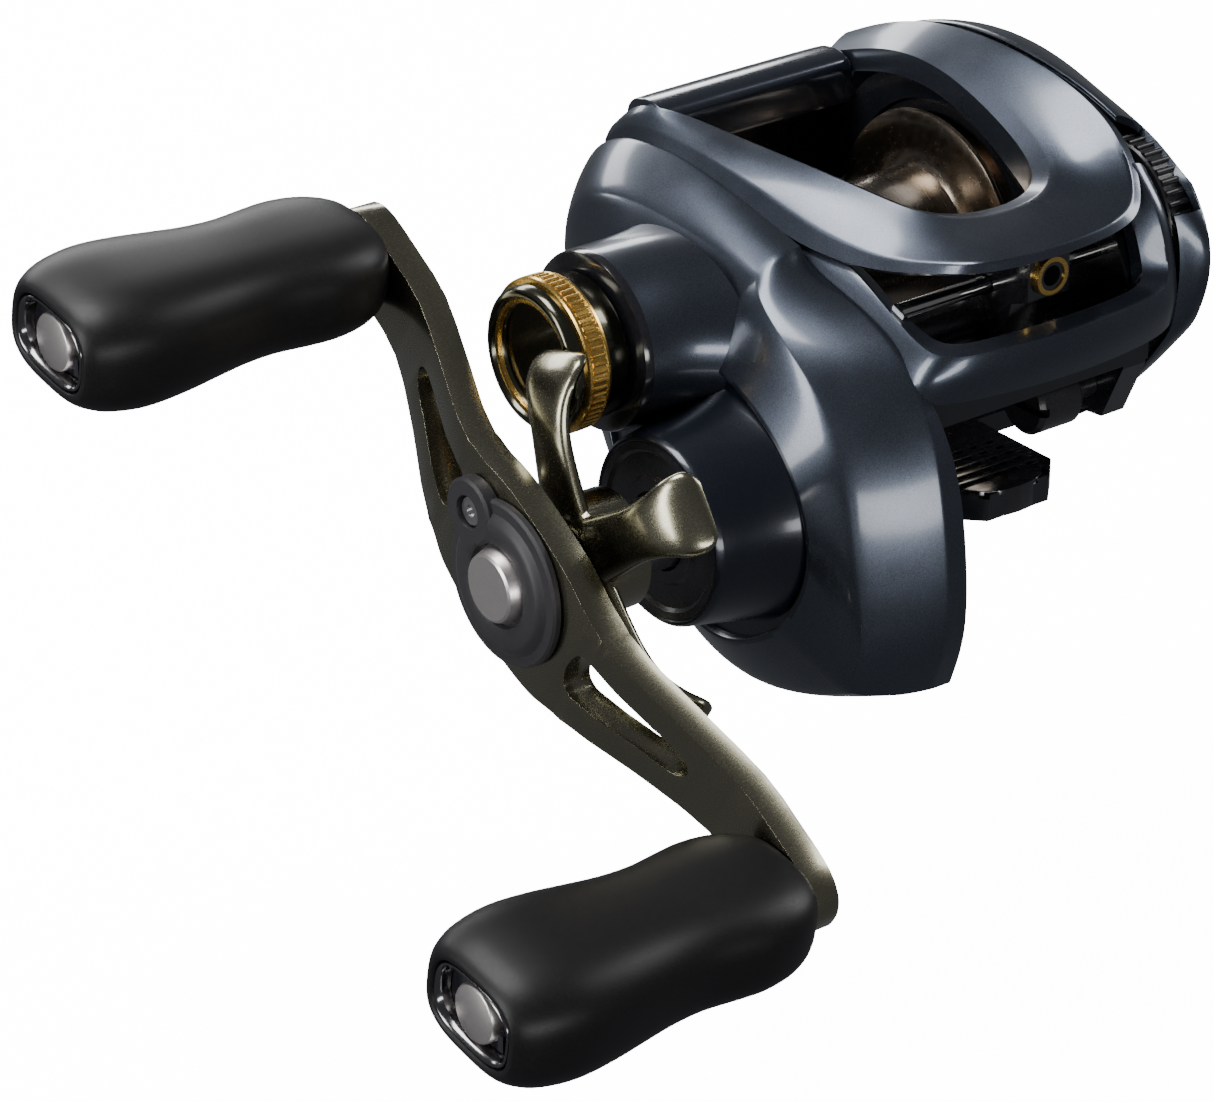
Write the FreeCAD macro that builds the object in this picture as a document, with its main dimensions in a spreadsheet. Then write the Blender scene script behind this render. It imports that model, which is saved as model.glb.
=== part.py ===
import FreeCAD, Part
import math
import os
import Sketcher

# A low-profile baitcasting reel, right-hand crank, 7.4 to 1.
# Origin: middle of the foot's underside. +X runs along the spool axis to the palm side (the crank is at
# -X), -Y is the front, where the line leaves, and +Z is up. Millimetres and degrees.
# Both rotating axes are parallel to X: the spool axis is straight over the origin, the crank axis is
# lower and further forward.

V = FreeCAD.Vector

DIMENSIONS = [
    # frame and foot
    ("spool_height", 20.8), ("foot_length", 59), ("foot_width", 15), ("foot_thick", 3.2),
    ("foot_snip", 3),
    ("wall_out", -18.6), ("wall_in", -15.8), ("ring_in", 12.6), ("ring_out", 16.0),
    ("ring_bore", 16.0), ("ring_radius", 20.0), ("floor_half", 13.5),
    # covers
    ("cover_wall", 1.5), ("crease_x", -27), ("palm_x", 26.6),
    ("boss_x", -40), ("boss_root", 16.2), ("boss_radius", 12.2), ("boss_bore", 7.0),
    ("cast_root", 14.6), ("cast_shoulder", 10.4), ("cast_shoulder_x", -38.4),
    ("neck_radius", 6.4), ("neck_x", -42.4),
    # spool, shaft and brake
    ("spool_radius", 15.2), ("arbor_radius", 8.8), ("flange_left", -13.9), ("flange_right", 12.1),
    ("flange_thick", 1.1), ("shaft_radius", 1.25), ("spindle_radius", 2.0),
    ("shaft_left", -42.0), ("shaft_right", 20.5), ("running", 0.06),
    ("magnet_radius", 4.2), ("coil_inner", 4.7), ("coil_outer", 9.0), ("housing_radius", 15.8),
    # crank axis
    ("crank_front", 14.5), ("crank_height", 3.5), ("crank_shaft", 3.0), ("crank_journal", 2.4),
    ("crank_bearing", 4.0),
    # gears
    ("gear_teeth", 74), ("pinion_teeth", 10), ("gear_inner", -21.6), ("gear_width", 2.8),
    ("wind_module", 0.5), ("wind_teeth", 30), ("idler_teeth", 21), ("worm_teeth", 12),
    ("wind_x", -18.8), ("wind_width", 1.1), ("wind_angle", 115), ("backlash", 0.1),
    ("flank_angle", 25), ("yoke_thick", 0.9), ("yoke_x", -18.95),
    # level wind
    ("tube_radius", 3.2), ("tube_bore", 2.3), ("worm_radius", 2.0), ("worm_journal", 1.5),
    ("rod_radius", 1.0), ("rod_y", -26.2), ("rod_z", 27.6), ("carriage_half", 3.0),
    ("eye_y", -31.4), ("eye_z", 30.3), ("eye_bore", 1.2), ("insert_radius", 2.1),
    # crank handle
    ("arm_half", 45), ("arm_tilt", 31.7), ("arm_hub_x", -60), ("arm_thick", 3.6), ("arm_sweep", 7.4),
    ("knob_outer_x", -93.6), ("knob_inner_x", -52.8), ("knob_pin", 2.0), ("knob_bore", 2.12),
    ("knob_lean", 10),
    # star drag and cast control
    ("star_radius", 22.4), ("star_hub", 7.0), ("star_x", -52.4),
    ("star_turn", 74), ("star_points", 5), ("cap_x", -46.6), ("cap_radius", 8.4), ("cap_ring", 9.2),
    # clutch bar, brake dial, side plate knob
    ("bar_y", 15.6), ("bar_depth", 7.4), ("bar_top", 38.2), ("bar_height", 3.8),
    ("dial_y", -23.4), ("dial_z", 29.4), ("dial_radius", 9.6), ("dial_x", 18.6), ("dial_width", 3.2),
    ("lock_y", -26.5), ("lock_z", 11.4), ("lock_radius", 3.7),
]

doc = FreeCAD.newDocument("Reel")
sheet = doc.addObject("Spreadsheet::Sheet", "dim")
parts = []


def fill_sheet():
    """Every driving dimension in one row: its name beside its number, which carries the alias."""
    for row, (name, size) in enumerate(DIMENSIONS, start=1):
        sheet.set(f"A{row}", name)
        sheet.set(f"B{row}", str(size))
        sheet.setAlias(f"B{row}", name)
    doc.recompute()


def value(formula):
    """The number behind a formula in the sheet's names, or a plain number as it is."""
    if isinstance(formula, (int, float)):
        return float(formula)
    result = sheet.evalExpression(formula)
    return float(getattr(result, "Value", result))


def d(name):
    return value("dim." + name)


def bind(item, prop, formula):
    """Set a property from a formula in the sheet's names, or from a plain number."""
    item.setExpression(prop, str(formula))


def keep(name, item):
    """A finished sub-part: its label names its file."""
    item.Label = name
    parts.append((name, item))
    return item


# The two main axes and the ones that follow from the gears, as (y, z) formulas.
SPOOL = ("0", "dim.spool_height")
CRANK = ("-dim.crank_front", "dim.crank_height")
IDLER_REACH = "(dim.wind_teeth + dim.idler_teeth) * dim.wind_module / 2"
WORM_REACH = "(dim.wind_teeth + 2 * dim.idler_teeth + dim.worm_teeth) * dim.wind_module / 2"
WIND_COS = "cos(dim.wind_angle * 1 deg)"
WIND_SIN = "sin(dim.wind_angle * 1 deg)"
IDLER = (f"-dim.crank_front + {IDLER_REACH} * {WIND_COS}", f"dim.crank_height + {IDLER_REACH} * {WIND_SIN}")
WORM = (f"-dim.crank_front + {WORM_REACH} * {WIND_COS}", f"dim.crank_height + {WORM_REACH} * {WIND_SIN}")
ROD = ("dim.rod_y", "dim.rod_z")
DIAL = ("dim.dial_y", "dim.dial_z")
LOCK = ("dim.lock_y", "dim.lock_z")
SPINDLE_FIT = "dim.shaft_radius + dim.running"
SCREWS = [("20.2", "12.6"), ("-31.5", "-4"), ("-8", "-14.6")]


def knob_axis(side):
    reach = f"{side} * dim.arm_half"
    return (f"-dim.crank_front + {reach} * cos(dim.arm_tilt * 1 deg)",
            f"dim.crank_height + {reach} * sin(dim.arm_tilt * 1 deg)")


def point(axis):
    return value(axis[0]), value(axis[1])


# ---------------------------------------------------------------- building blocks

def sketch_polygon(body, role, name, points, offset="0"):
    """A closed outline of straight edges on one of a body's own planes; each corner is two formulas."""
    sketch = body.newObject("Sketcher::SketchObject", name)
    plane = next(item for item in body.Origin.OriginFeatures if item.Role == role)
    sketch.AttachmentSupport = [(plane, "")]
    sketch.MapMode = "FlatFace"
    bind(sketch, "AttachmentOffset.Base.z", offset)
    corners = [V(value(u), value(w), 0) for u, w in points]
    count = len(corners)
    sketch.addGeometry([Part.LineSegment(corners[i], corners[(i + 1) % count]) for i in range(count)])
    rules = [Sketcher.Constraint("Coincident", i, 2, (i + 1) % count, 1) for i in range(count)]
    for i, corner in enumerate(corners):
        rules.append(Sketcher.Constraint("DistanceX", -1, 1, i, 1, corner.x))
        rules.append(Sketcher.Constraint("DistanceY", -1, 1, i, 1, corner.y))
    sketch.addConstraint(rules)
    for i, pair in enumerate(points):
        for k, formula in enumerate(pair):
            if not isinstance(formula, (int, float)):
                bind(sketch, f"Constraints[{count + 2 * i + k}]", formula)
    return sketch


def place(item, axis, x="0"):
    for prop, formula in zip("xyz", (x, *axis)):
        bind(item, "Placement.Base." + prop, formula)


def turned(name, points, axis):
    """A body of revolution about an axis along X; the outline is (x, radius)."""
    body = doc.addObject("PartDesign::Body", name)
    outline = sketch_polygon(body, "XY_Plane", name + "_outline", points)
    spin = body.newObject("PartDesign::Revolution", name + "_turn")
    spin.Profile = outline
    spin.ReferenceAxis = (outline, ["H_Axis"])
    spin.Angle = 360
    outline.Visibility = False
    place(body, axis)
    return body


def padded(name, role, points, start, length):
    """A body made by padding one straight-edged outline from a start plane."""
    body = doc.addObject("PartDesign::Body", name)
    outline = sketch_polygon(body, role, name + "_outline", points, start)
    pad = body.newObject("PartDesign::Pad", name + "_pad")
    pad.Profile = outline
    bind(pad, "Length", length)
    return body


def rod(name, x, length, radius, axis):
    """A cylinder along X from x."""
    item = doc.addObject("Part::Cylinder", name)
    item.Placement = FreeCAD.Placement(V(0, 0, 0), FreeCAD.Rotation(V(0, 1, 0), 90))
    bind(item, "Radius", radius)
    bind(item, "Height", length)
    place(item, axis, x)
    return item


def upright(name, x, y, z, height, radius):
    """A cylinder along Z from z."""
    item = doc.addObject("Part::Cylinder", name)
    bind(item, "Radius", radius)
    bind(item, "Height", height)
    place(item, (y, z), x)
    return item


def block(name, low, size):
    """A box from its lowest corner."""
    item = doc.addObject("Part::Box", name)
    for prop, formula in zip(("Length", "Width", "Height"), size):
        bind(item, prop, formula)
    place(item, low[1:], low[0])
    return item


def fuse(name, items):
    joined = doc.addObject("Part::MultiFuse", name)
    joined.Shapes = items
    return joined


def cut(name, base, tools):
    tool = tools[0] if len(tools) == 1 else fuse(name + "_tools", tools)
    result = doc.addObject("Part::Cut", name)
    result.Base = base
    result.Tool = tool
    return result


def shaped(name, shape):
    item = doc.addObject("Part::Feature", name)
    item.Shape = shape
    return item


def ring(name, x, length, outer, inner, axis):
    """A plain ring as a turned body."""
    far = f"{x} + {length}"
    return turned(name, [(x, inner), (far, inner), (far, outer), (x, outer)], axis)


def bearing(name, x, width, outer, inner, axis):
    """A ball bearing as one piece: two races and a shallow groove on each face for the shield."""
    lip = 0.22
    far = f"{x} + {width}"
    low = f"{inner} + ({outer} - {inner}) * 0.3"
    high = f"{inner} + ({outer} - {inner}) * 0.7"
    outline = [(x, inner), (far, inner), (far, low), (f"{far} - {lip}", low), (f"{far} - {lip}", high),
               (far, high), (far, outer), (x, outer), (x, high), (f"{x} + {lip}", high),
               (f"{x} + {lip}", low), (x, low)]
    return turned(name, outline, axis)


def gear_solid(teeth, module, x, length, centre, turn, bore, addendum=0.75, dedendum=1.15):
    """A spur gear with stubby involute teeth; one tooth is centred on the angle turn, from +Y."""
    pitch = teeth * module / 2
    flank = math.radians(d("flank_angle"))
    base = pitch * math.cos(flank)
    half = (math.pi * module / 2 - d("backlash")) / (2 * pitch) + math.tan(flank) - flank
    radii = [max(base, pitch - dedendum * module), pitch, pitch + addendum * module]

    def lean(radius):
        angle = math.acos(min(1.0, base / radius))
        return half - (math.tan(angle) - angle)

    edge = [(pitch - dedendum * module, lean(radii[0]))] + [(radius, lean(radius)) for radius in radii]
    points = []
    for tooth in range(int(teeth)):
        middle = math.radians(turn) + 2 * math.pi * tooth / teeth
        flanks = [(r, middle - a) for r, a in edge] + [(r, middle + a) for r, a in reversed(edge)]
        points += [V(x, centre[0] + r * math.cos(a), centre[1] + r * math.sin(a)) for r, a in flanks]
    unique = [p for i, p in enumerate(points) if (p - points[i - 1]).Length > 1e-4]
    solid = Part.Face(Part.makePolygon(unique + [unique[0]])).extrude(V(length, 0, 0))
    hole = Part.makeCylinder(bore, length + 2, V(x - 1, *centre), V(1, 0, 0))
    return solid.cut(hole)


def section(x, points):
    """A closed smooth outline through (y, z) points, in the plane at x."""
    curve = Part.BSplineCurve()
    curve.interpolate([V(x, y, z) for y, z in points], PeriodicFlag=True)
    return Part.Wire(curve.toShape())


def inset(points, wall):
    """The same outline moved in by about one wall thickness towards its own middle."""
    cy = sum(p[0] for p in points) / len(points)
    cz = sum(p[1] for p in points) / len(points)
    moved = []
    for y, z in points:
        reach = math.hypot(y - cy, z - cz)
        moved.append((y - (y - cy) / reach * wall, z - (z - cz) / reach * wall))
    return moved


# ---------------------------------------------------------------- outlines of the shell, (y, z)

# Where the crank-side cover meets the frame, and where its rim turns in to its outer face.
SEAM = [(27.5, 22), (25.5, 30), (18, 34.2), (7, 34.6), (-4, 32.2), (-14, 28.6), (-25, 25.4), (-32, 21),
        (-36, 13), (-38, 3), (-38.6, -7), (-35.5, -13.5), (-24, -18.6), (-8, -20.4), (6, -13),
        (17, -2), (25, 10)]
CREASE = [(23.5, 21), (21.5, 27), (15, 30.4), (6, 30.6), (-3, 29.4), (-11.5, 27.6), (-20.4, 24.8),
          (-28.3, 19.4), (-32.4, 11.8), (-34.4, 2), (-34.2, -7), (-31.5, -13), (-22, -16.6), (-9, -18),
          (3.5, -11.5), (13, -2.5), (20, 8.5)]
# The palm-side cover, at the frame and at its outer face.
PALM_ROOT = [(26.5, 21), (23, 33), (13, 42.6), (0, 46), (-13, 45), (-25, 41), (-36, 35.4), (-39, 29),
             (-37.4, 22), (-31, 12), (-20, 2.6), (-6, -3), (9, -2.4), (21, 7)]
PALM_FACE = [(17.5, 21), (15, 29.4), (8.4, 35.4), (-1, 37.8), (-10, 37), (-18, 34.6), (-25, 31),
             (-27.4, 26.8), (-26, 22), (-21.5, 14.6), (-14, 8), (-4, 4), (6, 5), (14, 11.4)]


# ---------------------------------------------------------------- fixed parts

def make_frame():
    """The one-piece frame: foot, floor, crank-side wall, palm-side ring and the cross bars."""
    side, end, snip = "dim.foot_width / 2", "dim.foot_length / 2", "- dim.foot_snip"
    foot_outline = []
    for u, w in ((-1, -1), (1, -1), (1, 1), (-1, 1)):
        corner = [(f"{u} * ({side} {snip})", f"{w} * {end}"), (f"{u} * {side}", f"{w} * ({end} {snip})")]
        foot_outline += corner if u * w < 0 else reversed(corner)
    foot = padded("foot_plate", "XY_Plane", foot_outline, "0", "dim.foot_thick")
    floor = block("frame_floor", ("dim.wall_out", "-dim.floor_half", "0.7"),
                  ("dim.ring_out - dim.wall_out", "2 * dim.floor_half", "dim.foot_thick - 0.7"))
    wall_outline = [(y, z - 3.0 if z > 28 else z) for y, z in inset(SEAM, 0.5)]
    wall = padded("frame_wall", "YZ_Plane", wall_outline, "dim.wall_out", "dim.wall_in - dim.wall_out")
    rim = ring("frame_rim", "dim.wall_in", "2.6", "dim.ring_bore + 1.4", "dim.ring_bore", SPOOL)
    hoop = ring("frame_hoop", "dim.ring_in", "dim.ring_out - dim.ring_in", "dim.ring_radius",
                "dim.ring_bore", SPOOL)
    cheek_outline = [(-14, 6.5), (-29, 8), (-32.2, 15), (-32.8, 24), (-30, 30.4), (-24, 35), (-12, 36.4),
                     (-16.6, 30), (-18.6, 21), (-17.2, 13)]
    cheek = padded("frame_cheek", "YZ_Plane", cheek_outline, "dim.ring_in", "dim.ring_out - dim.ring_in")
    span = "dim.ring_out - dim.wall_out"
    front_bar = block("front_bar", ("dim.wall_out", "-32.6", "15.6"), (span, "2.6", "3.8"))
    rear_bar = block("rear_bar", ("dim.wall_out", "19.2", "21"), (span, "2.6", "5"))
    rear_wall = block("rear_wall", ("dim.wall_out", "20.2", "25"), (span, "1.6", "5.4"))
    rear_ear = padded("rear_ear", "YZ_Plane", [(16, 12), (21.8, 20), (21.8, 27), (17.5, 31), (14.5, 34.6),
                                               (14.4, 31), (18.6, 24), (18.6, 18)],
                      "dim.ring_in", "dim.ring_out - dim.ring_in")
    solid = fuse("frame_solid", [foot, floor, wall, rim, hoop, cheek, front_bar, rear_bar, rear_wall,
                                  rear_ear])
    long = "dim.wall_in - dim.wall_out + 2"
    holes = [
        rod("hole_spool", "dim.wall_out - 1", long, "8", SPOOL),
        rod("hole_crank", "dim.wall_out - 1", long, "dim.crank_bearing", CRANK),
        rod("hole_worm", "dim.wall_out - 1", long, "dim.worm_journal + dim.running", WORM),
        block("hole_clutch", ("dim.wall_out - 1", "dim.bar_y + 0.4", "23.7"), (long, "4.2", "12")),
        block("hole_bar", ("dim.wall_in", "dim.bar_y + 0.2", "21"), ("3", "7", "20")),
        block("hole_rim", ("dim.wall_in", "-14", "32.4"), ("3", "32", "8")),
        rod("hole_lock", "dim.ring_in - 1", "dim.ring_out - dim.ring_in + 2", "1.7", LOCK),
    ]
    holes += [rod(f"hole_screw{i}", "dim.wall_out - 1", long, "1.05", axis) for i, axis in enumerate(SCREWS)]
    for i in range(5):
        corner = (f"-5.3 + {i} * 2.4", "-dim.foot_length / 2 - 1", "dim.foot_thick - 0.5")
        holes.append(block(f"foot_groove{i}", corner, ("1.0", "13", "1")))
    stud = rod("idler_stud", "dim.wind_x - dim.wind_width - 0.3",
               "dim.wall_out - dim.wind_x + dim.wind_width + 0.3", "1.02", IDLER)
    return keep("frame", fuse("frame", [cut("frame_cut", solid, holes), stud]))


def make_gear_side_plate():
    """The sculpted crank-side cover: one smooth shell with two flared bosses."""
    out, crease, wall = d("wall_out"), d("crease_x"), d("cover_wall")
    middle = [((a[0] * 0.7 + b[0] * 0.3), (a[1] * 0.7 + b[1] * 0.3)) for a, b in zip(SEAM, CREASE)]
    outer = Part.makeLoft([section(out, SEAM), section((out * 0.45 + crease * 0.55), middle),
                           section(crease, CREASE)], True, False)
    inner = Part.makeLoft([section(out + 0.2, inset(SEAM, wall)),
                           section((out * 0.45 + crease * 0.55), inset(middle, wall)),
                           section(crease + wall, inset(CREASE, wall))], True, False)
    cover = shaped("gear_cover_shell", outer.cut(inner))
    boss = turned("crank_boss", [
        ("dim.crease_x + 1.5", 13.6), ("dim.crease_x + 1.5", "dim.boss_root"),
        ("-30", "dim.boss_root - 0.6"),
        ("dim.boss_x + 1", "dim.boss_radius + 0.4"), ("dim.boss_x", "dim.boss_radius - 0.6"),
        ("dim.boss_x", 10.3), ("dim.boss_x + 1.1", 10.3), ("dim.boss_x + 1.1", "dim.boss_bore"),
        ("-31", "dim.boss_bore"), ("-29", 9.5)], CRANK)
    shoulder = "dim.cast_shoulder_x"
    cast = turned("cast_boss", [
        ("dim.crease_x + 1.5", "dim.cast_root - 4"), ("dim.crease_x + 1.5", "dim.cast_root"),
        ("-31", "dim.cast_root - 2.4"), ("-35", "dim.cast_shoulder + 0.7"),
        (shoulder, "dim.cast_shoulder"), (shoulder, "dim.neck_radius"),
        ("dim.neck_x", "dim.neck_radius"), ("dim.neck_x", 1.9), ("-39", 1.9), ("-39", 4.0), ("-36.6", 4.0),
        ("-36.6", 4.8), ("-30.6", 4.8), ("-28.2", 4.8)], SPOOL)
    clear = [
        rod("open_crank", "dim.crease_x - 3.6", "9", 11.4, CRANK),
        rod("open_gear", "-25.2", "7", 20.8, CRANK),
        rod("open_worm_gear", "dim.wind_x - dim.wind_width - 0.35", "3", 3.9, WORM),
        rod("open_pinion", "-38.4", "17", 4.4, SPOOL),
        rod("open_clutch_bearing", "-38.9", "12", "dim.boss_bore", CRANK),
    ]
    return keep("gear_side_plate", cut("gear_side_plate", fuse("gear_cover", [cover, boss, cast]), clear))


def make_palm_side_plate():
    """The palm-side cover: a domed shell, with a notch at the top front for the brake dial."""
    out, face, wall = d("ring_out"), d("palm_x"), d("cover_wall")
    ease = [((a[0] * 0.72 + b[0] * 0.28), (a[1] * 0.72 + b[1] * 0.28)) for a, b in zip(PALM_ROOT, PALM_FACE)]
    middle_x = out + (face - out) * 0.62
    outer = Part.makeLoft([section(out, PALM_ROOT), section(middle_x, ease), section(face, PALM_FACE)],
                          True, False)
    inner = Part.makeLoft([section(out - 0.2, inset(PALM_ROOT, wall)), section(middle_x, inset(ease, wall)),
                           section(face - wall, inset(PALM_FACE, wall + 0.6))], True, False)
    shell = shaped("palm_shell", outer.cut(inner))
    window = rod("dial_window", "dim.dial_x - 0.5", "dim.dial_width + 1", "dim.dial_radius + 0.6", DIAL)
    stud = rod("dial_stud", "dim.dial_x - 1.8", "dim.palm_x - dim.dial_x + 0.6", "1.6", DIAL)
    socket = rod("lock_socket", "dim.ring_out - 1", "4", "1.8", LOCK)
    opened = cut("palm_open", shell, [window, socket])
    return keep("palm_side_plate", fuse("palm_side_plate", [opened, stud]))


def make_hood():
    """The top cover: an arch from wall to hoop with the thumb opening through it."""
    stations = [
        (25.0, 1.5, [(-18.5, 32.2), (-13.6, 35.4), (0, 36.2), (12.6, 38.0), (15.9, 36)]),
        (12.0, 1.5, [(-18.5, 35.4), (-13.2, 38.4), (0, 39.6), (12.6, 42.4), (15.9, 42.6)]),
        (-6.0, 1.5, [(-18.5, 33.4), (-12.6, 38.4), (0, 40.2), (12.6, 43.4), (15.9, 43.8)]),
        (-22.0, 1.2, [(-16.6, 32.2), (-9.4, 36.4), (0, 36.8), (9.4, 38.4), (15.4, 39.4)]),
        (-35.0, 1.2, [(-10.9, 34.5), (-5, 34.9), (0, 35.1), (6, 35.3), (10.9, 34.8)]),
    ]
    wires = []
    for y, thick, arch in stations:
        under = [(x * 0.97, z - thick) for x, z in reversed(arch)]
        corners = [V(x, y, z) for x, z in arch + under]
        wires.append(Part.makePolygon(corners + [corners[0]]))
    shell = shaped("hood_shell", Part.makeLoft(wires, True, True))
    opening = padded("thumb_opening", "XY_Plane", [
        (-15.8, 30), (12.5, 30), (12.5, 6), (11.8, -8), (8.2, -22), (3, -23.6), (-3, -23.6), (-8.2, -22),
        (-11.6, -8), (-12.6, 8), (-13.2, 13), (-15.8, 15)], "25", "30")
    return keep("top_hood", cut("top_hood", shell, [opening]))


def make_nose():
    """The loop round the front window: a lip across the front and an arm back along each side."""
    front = padded("nose_front", "XY_Plane", [
        (-18.5, -32.7), (-18.5, -35.4), (-14, -36.8), (0, -37.4), (12.6, -37.8), (15.8, -37.4),
        (15.8, -33.4), (12.4, -33.4), (0, -34.0), (-13, -33.6), (-15.4, -32.7)], "19.5", "6.3")
    arm_outline = [(-32.8, 21.8), (-36, 21.4), (-35.2, 25.8), (-27, 26.8), (-21.6, 28.9), (-14, 30.4),
                   (-10.5, 30.9), (-11, 30.3), (-14, 29.4), (-25, 26.2), (-29, 24.3)]
    arm = padded("nose_arm", "YZ_Plane", arm_outline, "-21", "5.2")
    palm_arm = padded("nose_palm_arm", "YZ_Plane", [(-33.4, 19.6), (-37, 20.4), (-37.2, 30), (-34.5, 33.8),
                                                    (-30, 35), (-29.6, 33.6), (-31.6, 30.6), (-33.4, 24)],
                      "dim.ring_in + 0.2", "dim.ring_out - dim.ring_in - 0.4")
    pocket = rod("nose_pocket", "dim.wind_x - dim.wind_width - 0.25", "dim.wind_width + 0.5", 4.0, WORM)
    return keep("nose_cover", cut("nose_cover", fuse("nose_solid", [front, arm, palm_arm]), [pocket]))


def make_brake():
    """The cast brake: a housing plugged in the hoop, a coil round the spool's magnet, a dial."""
    housing = turned("brake_housing", [
        (13.4, "dim.housing_radius - 1.5"), (13.4, "dim.housing_radius"), (18.0, "dim.housing_radius"),
        (18.0, 5.6), (21.4, 5.0), (21.4, 1.8), (20.6, 1.8), (20.6, 3.2), (18.2, 3.2), (18.2, 2.4),
        (17.3, 2.4), (17.3, 9.2), (16.4, 9.2), (16.4, "dim.housing_radius - 1.5")], SPOOL)
    keep("brake_housing", housing)
    keep("brake_coil", ring("brake_coil", "13.3", "3.9", "dim.coil_outer", "dim.coil_inner", SPOOL))
    keep("palm_bearing", bearing("palm_bearing", "18.2", "2.4", "3.2", SPINDLE_FIT, SPOOL))
    body = ring("brake_dial_body", "dim.dial_x", "dim.dial_width", "dim.dial_radius", "1.7", DIAL)
    notches = []
    count = 20
    for i in range(count):
        turn = 2 * math.pi * i / count
        reach = "(dim.dial_radius + 0.45)"
        notches.append(rod(f"dial_notch{i}", "dim.dial_x - 1", "dim.dial_width + 2", "0.75",
                           (f"dim.dial_y + {reach} * {math.cos(turn):.6f}",
                            f"dim.dial_z + {reach} * {math.sin(turn):.6f}")))
    keep("brake_dial", cut("brake_dial", body, notches))


def make_bearings():
    keep("crank_bearing", bearing("crank_bearing", "dim.wall_out + 0.2", "2.2", "dim.crank_bearing",
                                  "dim.crank_journal + dim.running", CRANK))
    keep("roller_clutch", bearing("roller_clutch", "-38.4", "7.2", "dim.boss_bore", "4.25", CRANK))
    keep("pinion_bearing", bearing("pinion_bearing", "-31.6", "2", "4.4", "2.08", SPOOL))
    keep("cast_bearing", bearing("cast_bearing", "-38.9", "2.2", "4.0", SPINDLE_FIT, SPOOL))
    keep("crank_seal", turned("crank_seal", [
        ("dim.boss_x + 0.1", 4.6), ("dim.boss_x + 1.1", 4.6), ("dim.boss_x + 1.1", 10.3),
        ("dim.boss_x + 0.1", 10.3), ("dim.boss_x + 0.1", 9.4), ("dim.boss_x + 0.5", 9.0),
        ("dim.boss_x + 0.5", 6.4), ("dim.boss_x + 0.1", 6.0)], CRANK))


# ---------------------------------------------------------------- crank body

def make_drive_train():
    keep("drive_shaft", turned("drive_shaft", [
        (-16.2, 0), (-16.2, "dim.crank_journal"), ("dim.wall_out - 0.1", "dim.crank_journal"),
        ("dim.wall_out - 0.1", "dim.crank_shaft"), (-45, "dim.crank_shaft"),
        (-45.3, "dim.crank_shaft - 0.1"),
        (-56, "dim.crank_shaft - 0.1"), (-56, "dim.crank_shaft - 0.4"), (-60, "dim.crank_shaft - 0.4"),
        (-60, 2.2), (-61.2, 2.2), (-61.2, 0)], CRANK))
    centre = point(CRANK)
    wheel = gear_solid(d("wind_teeth"), d("wind_module"), d("wind_x") - d("wind_width"), d("wind_width"),
                       centre, d("wind_angle"), d("crank_shaft"))
    keep("wind_drive_gear", shaped("wind_drive_gear", wheel))
    module = spool_module()
    wide = d("gear_width")
    outer_x = d("gear_inner") - wide
    gear = gear_solid(d("gear_teeth"), module, outer_x, wide, centre, spool_direction(), d("crank_shaft"))
    recess = Part.makeCylinder(16.2, wide - 1.0, V(outer_x, *centre), V(1, 0, 0))
    keep("drive_gear", shaped("drive_gear", gear.cut(recess)))
    ratchet = ring("ratchet_blank", "-21.3", "1.1", "9", "dim.crank_shaft", CRANK)
    bites = []
    for i in range(12):
        turn = 2 * math.pi * i / 12
        bites.append(rod(f"ratchet_bite{i}", "-22", "3", "1.3",
                         (f"-dim.crank_front + 9.2 * {math.cos(turn):.6f}",
                          f"dim.crank_height + 9.2 * {math.sin(turn):.6f}")))
    keep("anti_reverse_ratchet", cut("anti_reverse_ratchet", ratchet, bites))
    keep("drag_washer", ring("drag_washer", "-23.35", "0.75", "15.6", "dim.crank_shaft", CRANK))
    keep("pressure_plate", turned("pressure_plate", [
        (-23.35, "dim.crank_shaft"), (-23.35, 15), (-24.4, 15), (-24.8, 14.4), (-24.8, 8), (-25.6, 7.4),
        (-25.6, "dim.crank_shaft")], CRANK))
    keep("spring_washers", turned("spring_washers", [
        (-25.6, "dim.crank_shaft"), (-26.2, 6), (-26.6, 6), (-26.2, "dim.crank_shaft + 1.4"), (-27.4, 6),
        (-27.8, 6), (-27.2, "dim.crank_shaft")], CRANK))
    keep("clutch_sleeve", ring("clutch_sleeve", "-44", "16.1", "4.2", "dim.crank_shaft", CRANK))
    keep("star_spacer", ring("star_spacer", "-56", "3.3", "4.6", "dim.crank_shaft - 0.1", CRANK))


def spool_module():
    """The pinion's centre distance over half the teeth in mesh."""
    reach = math.hypot(d("crank_front"), d("spool_height") - d("crank_height"))
    return 2 * reach / (d("gear_teeth") + d("pinion_teeth"))


def spool_direction():
    return math.degrees(math.atan2(d("spool_height") - d("crank_height"), d("crank_front")))


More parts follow.
